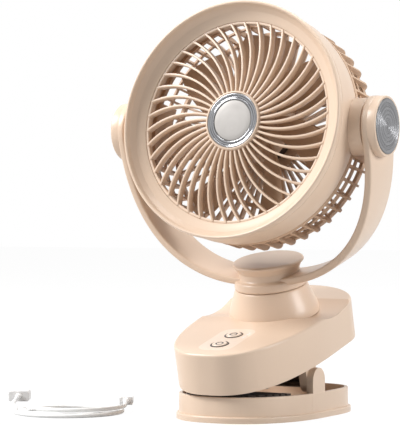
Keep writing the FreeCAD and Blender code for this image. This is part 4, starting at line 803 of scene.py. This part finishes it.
@dataclass
class FanHead:
    """The bezel, the swirled grille with its hub, the rear cage and the pivot bosses."""

    rim: float = 85.9
    front: float = 35.7
    drum: float = 84.2
    wall: float = 2.2
    grille: float = 73.0
    grille_front: float = 25.5
    hub: float = 21.5
    hub_front: float = 28.8
    chrome: float = 19.7
    disc: float = 14.8
    bars: int = 42
    bar_thick: float = 1.8
    bar_depth: float = 6.0
    bar_sides: int = 12
    side_power: float = 0.55
    face_power: float = 0.25
    sweep: float = 17.0
    sweep_power: float = 1.5
    dome_power: float = 1.6
    stations: int = 12
    drum_rear: float = 2.0
    drum_steps: int = 160
    shoulder: float = 19.0
    seam: float = 29.2
    web_depth: float = 4.5
    trim_base: float = 1.0

    def build(self) -> None:
        """Build every piece of the head."""
        self.bezel()
        self.front_grille()
        self.hub_trim()
        # The rear cage takes the cream plastic's darker copy: painted shade inside the head.
        softened("rear_cage", CREAM_SHADED, "head", "cream_plastic", 0.3, 1, 50.0)
        for side in ("right", "left"):
            softened(f"pivot_boss_{side}", CREAM, "head", "cream_plastic", 0.5)

    def bezel(self) -> None:
        """The drum with its thin front lip, a fine seam behind it and the funnel inside."""
        rim, front, face, seam = self.rim, self.front, self.grille_front, self.seam
        drum, rear, opening = self.drum, self.drum_rear, self.grille
        inner = drum - self.wall
        web = face - self.web_depth
        turned_piece("bezel_ring", [
            (inner, rear), (drum - 0.6, rear), (drum - 0.4, rear + 2.4), (drum + 0.8, rear + 8.0),
            (rim - 0.7, self.shoulder), (rim - 0.5, seam - 2.2), (rim - 0.4, seam), (rim - 0.75, seam + 0.2),
            (rim - 0.75, seam + 0.6), (rim - 0.3, seam + 0.8), (rim, front - 2.4), (rim - 0.4, front - 0.6),
            (rim - 1.3, front), (rim - 2.3, front - 0.5), (rim - 3.4, front - 3.6), (rim - 6.5, front - 7.2),
            (opening + 3.0, face + 1.2), (opening, face), (opening, web), (inner - 3, web), (inner, web - 4)],
            Axis.FORWARD, STANCE.head, CREAM, "head", "cream_plastic", ["front_bezel"], 0.35, self.drum_steps)

    def dome(self, radius: float) -> float:
        """Forward depth of the grille's face at a radius."""
        share = max(0.0, (radius - self.hub) / (self.grille - self.hub))
        return self.hub_front + (self.grille_front - self.hub_front) * share ** self.dome_power

    def bar_point(self, share: float) -> Vector:
        """The middle of a bar at a share of its length.

        Args:
            share: 0 inside the hub, 1 inside the rim ring.

        Returns:
            The point in head coordinates, in metres.
        """
        inner, outer = self.hub - 1.0, self.grille - 0.8
        radius = inner + (outer - inner) * share
        angle = math.radians(self.sweep) * max(0.0, share) ** self.sweep_power
        depth = self.dome(radius) - self.bar_depth / 2
        return Vector((-radius * math.sin(angle), -depth, radius * math.cos(angle))) * MM

    def station(self, share: float, step: float = 0.01) -> Matrix:
        """Where a bar's section stands.

        Args:
            share: Share of the bar's length.
            step: Share either side over which the bar's direction is taken.

        Returns:
            From the section's coordinates to the head's.
        """
        way = (self.bar_point(share + step) - self.bar_point(share - step)).normalized()
        aside = Vector((0.0, 1.0, 0.0)).cross(way).normalized()
        deep = way.cross(aside).normalized()
        turn = Matrix((aside, deep, way)).transposed().to_4x4()
        return Matrix.Translation(self.bar_point(share)) @ turn

    def front_grille(self) -> None:
        """The curved bars, the ring that they end in and the hub that they start from."""
        self.grille_bars()
        face, back = self.grille_front - 0.4, self.grille_front - self.bar_depth + 0.6
        inside = self.grille - 2
        turned_piece("grille_rim", [(inside, back), (self.grille, back), (self.grille, face), (inside, face)],
                     Axis.FORWARD, STANCE.head, CREAM, "head", "cream_plastic", (), 0.5)
        top, well = self.hub_front, self.chrome + 0.1
        turned_piece("grille_hub", [
            (0, top - 5.4), (self.hub, top - 5.4), (self.hub, top + 0.4), (self.hub - 0.8, top + 1.2),
            (well, top + 1.2), (well, top - self.trim_base), (0, top - self.trim_base)],
            Axis.FORWARD, STANCE.head, CREAM, "head", "cream_plastic", (), 0.35)

    def grille_bars(self) -> None:
        """One bar with rounded edges, drawn along its curve and then repeated."""
        piece = Piece()
        bm = piece.bm
        half, deep = self.bar_thick / 2 * MM, self.bar_depth / 2 * MM
        made = bmesh.ops.create_circle(bm, cap_ends=False, radius=1.0, segments=self.bar_sides)
        for vert in made["verts"]:
            x, y = vert.co.x, vert.co.y
            vert.co = (math.copysign(abs(x) ** self.side_power * half, x),
                       math.copysign(abs(y) ** self.face_power * deep, y), 0.0)
        ring = bm.edges[:]
        before = self.station(0.0)
        bmesh.ops.transform(bm, matrix=before, verts=bm.verts)
        for step in range(1, self.stations + 1):
            after = self.station(step / self.stations)
            extruded = bmesh.ops.extrude_edge_only(bm, edges=ring)["geom"]
            ring = [g for g in extruded if isinstance(g, bmesh.types.BMEdge)]
            verts = [g for g in extruded if isinstance(g, bmesh.types.BMVert)]
            bmesh.ops.transform(bm, matrix=after @ before.inverted(), verts=verts)
            before = after
        bmesh.ops.holes_fill(bm, edges=bm.edges[:], sides=0)
        bmesh.ops.recalc_face_normals(bm, faces=bm.faces)
        piece.ringed(self.bars, (0.0, 1.0, 0.0)).moved(STANCE.head)
        piece.finish("grille_bars", CREAM, "head", "cream_plastic", ["front_grille"])

    def hub_trim(self) -> None:
        """The stepped chrome ring and the satin disc in its middle."""
        top, chrome, disc = self.hub_front, self.chrome, self.disc
        base = top - self.trim_base
        # The chrome ring's dark bands are painted reflections.
        turned_piece("hub_ring", [
            (disc, base), (chrome, base), (chrome, top + 0.9), (chrome - 0.6, top + 1.5),
            (chrome - 1.3, top + 1.3), (chrome - 1.9, top + 0.3), (disc + 2.0, top + 0.2),
            (disc + 1.4, top + 1.1), (disc + 0.7, top + 1.3), (disc + 0.1, top + 0.8)],
            Axis.FORWARD, STANCE.head, CHROME_WITH_PAINTED_ARCS, "head", "chrome", ["hub_chrome_ring"], 0.25)
        turned_piece("hub_disc", [
            (0, base), (disc, base), (disc, top + 0.3), (disc - 0.5, top + 0.6), (disc - 4, top + 0.75),
            (0, top + 0.8)],
            Axis.FORWARD, STANCE.head, SILVER, "head", "silver_disc", ["hub_centre_disc"], 0.2)


@dataclass
class Yoke:
    """The U band with its round pivot caps and ringed discs."""

    half_width: float = 100.5
    cap: float = 21.2
    proud: float = 5.6
    sunk: float = 1.2
    disc: float = 19.3
    seat: float = 0.8
    disc_thick: float = 1.2
    grooves: int = 6
    groove_half: float = 0.8
    groove_deep: float = 0.6
    drop: float = 112.5
    squareness: float = 2.45
    thick: float = 5.2
    end_half: float = 21.4
    waist_half: float = 15.5
    taper_end: float = 12.0
    edge_round: float = 1.4
    corner_steps: int = 4
    least_square: float = 0.6
    bunching: float = 0.07
    along: int = 96
    up: int = 10

    def build(self) -> None:
        """Build the yoke's visible pieces."""
        self.band()
        start, end = self.half_width - self.sunk, self.half_width + self.proud
        seat = end - self.seat
        for side, axis in (("right", Axis.RIGHT), ("left", Axis.LEFT)):
            turned_piece(f"cap_{side}", [
                (0, start), (self.cap, start), (self.cap, end - 0.5), (self.cap - 0.5, end),
                (self.disc + 0.15, end), (self.disc, seat), (0, seat)],
                axis, STANCE.yoke, CREAM, "yoke", "cream_plastic", [f"pivot_cap_{side}"], 0.5)
            # The pivot discs' dark rings are painted reflections, over the real grooves of ringed_face.
            turned_piece(f"disc_{side}", self.ringed_face(seat), axis, STANCE.yoke, RINGED_WITH_PAINTED_REFLECTION, "yoke",
                         "chrome", [f"pivot_disc_{side}"], 0.12)

    def curve(self, angle: float, inset: float) -> Vector:
        """A point on the lower half of the U.

        Args:
            angle: 0 at the right, pi at the left.
            inset: Depth below the band's outer face, in millimetres.

        Returns:
            The point in yoke coordinates, in millimetres.
        """
        power = 2 / self.squareness
        cosine, sine = math.cos(angle), max(0.0, math.sin(angle))
        across = math.copysign((self.half_width - inset) * abs(cosine) ** power, cosine)
        return Vector((across, 0.0, -(self.drop - inset) * sine ** power))

    def section(self, outer: Vector, inner: Vector) -> list[Vector]:
        """The band's section with rounded corners.

        Args:
            outer: Middle of its outer face, in millimetres.
            inner: Middle of its inner face, in millimetres.

        Returns:
            The section's points in order, in metres.
        """
        height = outer.z
        if height > 0:
            half = math.sqrt(max(self.least_square, self.end_half ** 2 - height ** 2))
        else:
            share = min(1.0, -height / (self.drop - self.taper_end))
            half = self.end_half + (self.waist_half - self.end_half) * share
        radius = min(self.edge_round, half * 0.6)
        middle, deep = (outer + inner) / 2, (outer - inner) / 2
        reach = deep.length
        way = deep / reach
        points = []
        for corner, (side, out) in enumerate(((1, 1), (-1, 1), (-1, -1), (1, -1))):
            for step in range(self.corner_steps + 1):
                turn = math.radians(90 * corner + 90 / self.corner_steps * step)
                wide = side * (half - radius) + radius * math.cos(turn)
                thick = out * (reach - radius) + radius * math.sin(turn)
                points.append((middle + way * thick + Vector((0.0, wide, 0.0))) * MM)
        return points

    def across(self, angle: float, rise: float = 0.0) -> tuple[Vector, Vector]:
        """The outer and the inner point at an angle, moved up by a rise."""
        lift = Vector((0.0, 0.0, rise))
        return self.curve(angle, 0.0) + lift, self.curve(angle, self.thick) + lift

    def band(self) -> None:
        """The U band, drawn from its right end down and round to its left end."""
        rises = [self.end_half * math.sin(math.pi / 2 * step / self.up) for step in range(self.up, 0, -1)]
        pairs = [self.across(0.0, rise) for rise in rises]
        for step in range(self.along + 1):
            share = step / self.along
            shift = self.bunching * math.sin(math.tau * share) / math.pi
            pairs.append(self.across(math.pi * (share - shift)))
        pairs += [self.across(math.pi, rise) for rise in reversed(rises)]
        piece = Piece().sweep([self.section(*pair) for pair in pairs]).moved(STANCE.yoke)
        piece.finish("yoke_arm", CREAM, "yoke", "cream_plastic", ["yoke_band"])

    def ringed_face(self, seat: float) -> Profile:
        """The disc's profile with its round grooves.

        Args:
            seat: Where the disc's back lies along the pivot axis, in millimetres.

        Returns:
            The profile's corners.
        """
        face = seat + self.disc_thick
        profile = [(0.0, seat), (self.disc, seat), (self.disc, face - 0.3), (self.disc - 0.3, face)]
        for groove in reversed(range(self.grooves)):
            middle = self.disc * (groove + 1) / (self.grooves + 1)
            profile += [(middle + self.groove_half, face), (middle + 0.2, face - self.groove_deep),
                        (middle - 0.2, face - self.groove_deep), (middle - self.groove_half, face)]
        profile.append((0.0, face))
        return profile


@dataclass
class Neck:
    """The fixed collar on the deck and the turning sleeve and flange above its dark seam."""

    foot: float = 32.7
    sunk: float = 3.5
    collar: float = 26.7
    collar_top: float = 18.1
    seam: float = 0.4
    step: float = 24.0
    waist: float = 22.3
    flange: float = 26.2
    flange_top: float = 37.5
    spindle: float = 8.2

    def build(self) -> None:
        """Build the three turned mouldings of the neck."""
        foot, collar, top, bore = self.foot, self.collar, self.collar_top, self.spindle
        turned_piece("collar", [
            (bore + 4, 2.0), (foot - 3, 2.0), (foot - 1, -self.sunk), (foot + 0.4, -self.sunk), (foot, 0),
            (foot - 0.5, 3.0), (collar + 0.2, top - 1.6), (collar - 0.6, top), (bore, top), (bore, top - 3),
            (bore + 4, top - 3)],
            Axis.UP, STANCE.deck, CREAM, "housing", "cream_plastic", ["neck_collar"], 0.5)
        start, step, waist, end = top + self.seam, self.step, self.waist, self.flange_top
        turned_piece("sleeve", [
            (bore, start), (collar - 0.7, start), (collar - 0.2, start + 0.7), (collar - 0.6, step),
            (collar - 1.4, step + 0.9), (waist + 1.0, step + 1.3), (waist, step + 2.4), (waist, end - 7.0),
            (bore, end - 7.0)],
            Axis.UP, STANCE.deck, CREAM, "yoke", "cream_plastic", ["neck_sleeve"], 0.4)
        flange, under = self.flange, end - 7.4
        turned_piece("flange", [
            (0, under), (waist, under), (waist + 0.5, under + 1.2), (flange - 1.6, end - 3.0),
            (flange - 0.2, end - 2.2), (flange, end - 1.2), (flange - 0.8, end - 0.2), (flange - 2.4, end),
            (0, end)],
            Axis.UP, STANCE.deck, CREAM, "yoke", "cream_plastic", ["neck_flange_cap"], 0.5)


@dataclass
class ClampBase:
    """The battery housing with its control panel, and the lower jaw with its hinge."""

    rim: float = 6.8
    bore: float = 5.7
    button: float = 5.4
    button_deep: float = 2.8
    proud: float = 0.9
    small_steps: int = 64
    mark_inner: float = 1.9
    mark_outer: float = 3.0
    speed_place: float = 84.0
    mode_place: float = 63.0
    spring_split: float = 6.2

    def build(self) -> None:
        """Build the housing, the panel and the jaw."""
        softened("housing_shell", CREAM, "housing", "cream_plastic", 0.35, 2, 40.0)
        softened("housing_cover", CREAM, "housing", "cream_plastic", 0.3, 2, 40.0)
        softened("lower_jaw_tray", CREAM, "base", "cream_plastic", 0.35, 2, 40.0)
        # The lower grip plate takes the cream plastic's darker copy: painted shade under the jaw.
        softened("lower_grip_plate", CREAM_SHADED, "base", "cream_plastic", 0.3, 1)
        # The control panel takes the cream plastic's lighter copy: painted light on the top.
        softened("control_panel", LIT_PANEL, "housing", "cream_plastic", 0.18, 2)
        self.buttons()
        self.spring()

    def buttons(self) -> None:
        """Two round caps, each with a ring mark, in dark rims."""
        cap, top, rim, bore = self.button, self.proud, self.rim, self.bore
        inner, outer = self.mark_inner, self.mark_outer
        rims = Piece()
        for name, forward in (("speed_button", self.speed_place), ("mode_button", self.mode_place)):
            stand = STANCE.deck @ Matrix.Translation((0.0, -forward * MM, 0.0))
            # The button caps take the cream plastic's lighter copy: painted light.
            turned_piece(f"{name}_cap", [
                (0, -self.button_deep), (cap, -self.button_deep), (cap, top - 0.5), (cap - 0.4, top - 0.05),
                (cap - 1.2, top - 0.1), (0, top - 0.3)],
                Axis.UP, stand, LIT_PANEL, name, "cream_plastic", [name], 0.15, self.small_steps)
            turned_piece(f"{name}_mark", [
                (inner, top - 0.6), (outer, top - 0.6), (outer, top - 0.08), (inner, top - 0.1)],
                Axis.UP, stand, DARK, name, "dark_plastic", (), 0.08, self.small_steps)
            rims.take(Piece().turn([
                (bore, -1.0), (rim, -1.0), (rim, 0.15), (rim - 0.5, 0.35), (bore + 0.2, 0.35), (bore, 0.1)],
                self.small_steps, 0.1).moved(stand))
        rims.finish("button_rims", DARK, "housing", "dark_plastic", ["button_trims"])

    def spring(self) -> None:
        """The clamp spring, cut flat across its last turn so that its upper leg turns with the housing."""
        for name, body, upper, nodes in (("spring_coil", "base", False, ["clamp_spring"]),
                                         ("spring_upper_leg", "housing", True, [])):
            piece = Piece().copy_node("clamp_spring")
            bm = piece.bm
            bmesh.ops.bisect_plane(bm, geom=bm.verts[:] + bm.edges[:] + bm.faces[:], dist=SAME_POINT,
                                   plane_co=(self.spring_split * MM, 0.0, 0.0), plane_no=(1.0, 0.0, 0.0),
                                   clear_inner=upper, clear_outer=not upper)
            bmesh.ops.holes_fill(bm, edges=bm.edges[:], sides=0)
            piece.finish(name, STEEL, body, "steel", nodes)


PLAIN_FINISHES: dict[Finish, tuple[str, ...]] = {
    RUBBER: ("lower_grip_pad", "upper_grip_pad", "foot_pad"),
    STEEL: ("hinge_pin", "cover_screws", "swivel_spindle", "spindle_nut", "pivot_bolts",
            "motor_bearings", "motor_shaft", "motor_rotor", "motor_screws", "impeller_nut", "usb_c_socket"),
    MOTOR: ("motor_can",),
    COPPER: ("motor_winding",),
    CELL: ("battery_cells",),
    BOARD: ("control_board", "charging_board"),
    DARK: ("spring_spool", "battery_cradle", "button_switches", "board_standoffs"),
    LENS: ("battery_lights",),
    NYLON: ("friction_washers",),
    # The impeller takes the cream plastic's darker copy: painted shade behind the grille.
    CREAM_SHADED: ("impeller",),
}


def dress_solids() -> None:
    """Give every solid that stays its material."""
    for finish, names in PLAIN_FINISHES.items():
        for name in names:
            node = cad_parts[name]
            if not node.material_slots:
                node.data.materials.append(None)
            for slot in node.material_slots:
                slot.material = finish.material()
            log.info("%s: kept as it is, in %s", name, finish.name)


def main() -> None:
    """Build the studio and the fan, part by part."""
    logging.basicConfig(level=logging.INFO, format="%(name)s %(message)s")
    Studio().build()
    ChargingLead().build()
    FanHead().build()
    Yoke().build()
    Neck().build()
    ClampBase().build()
    dress_solids()


if __name__ == "__main__":
    main()
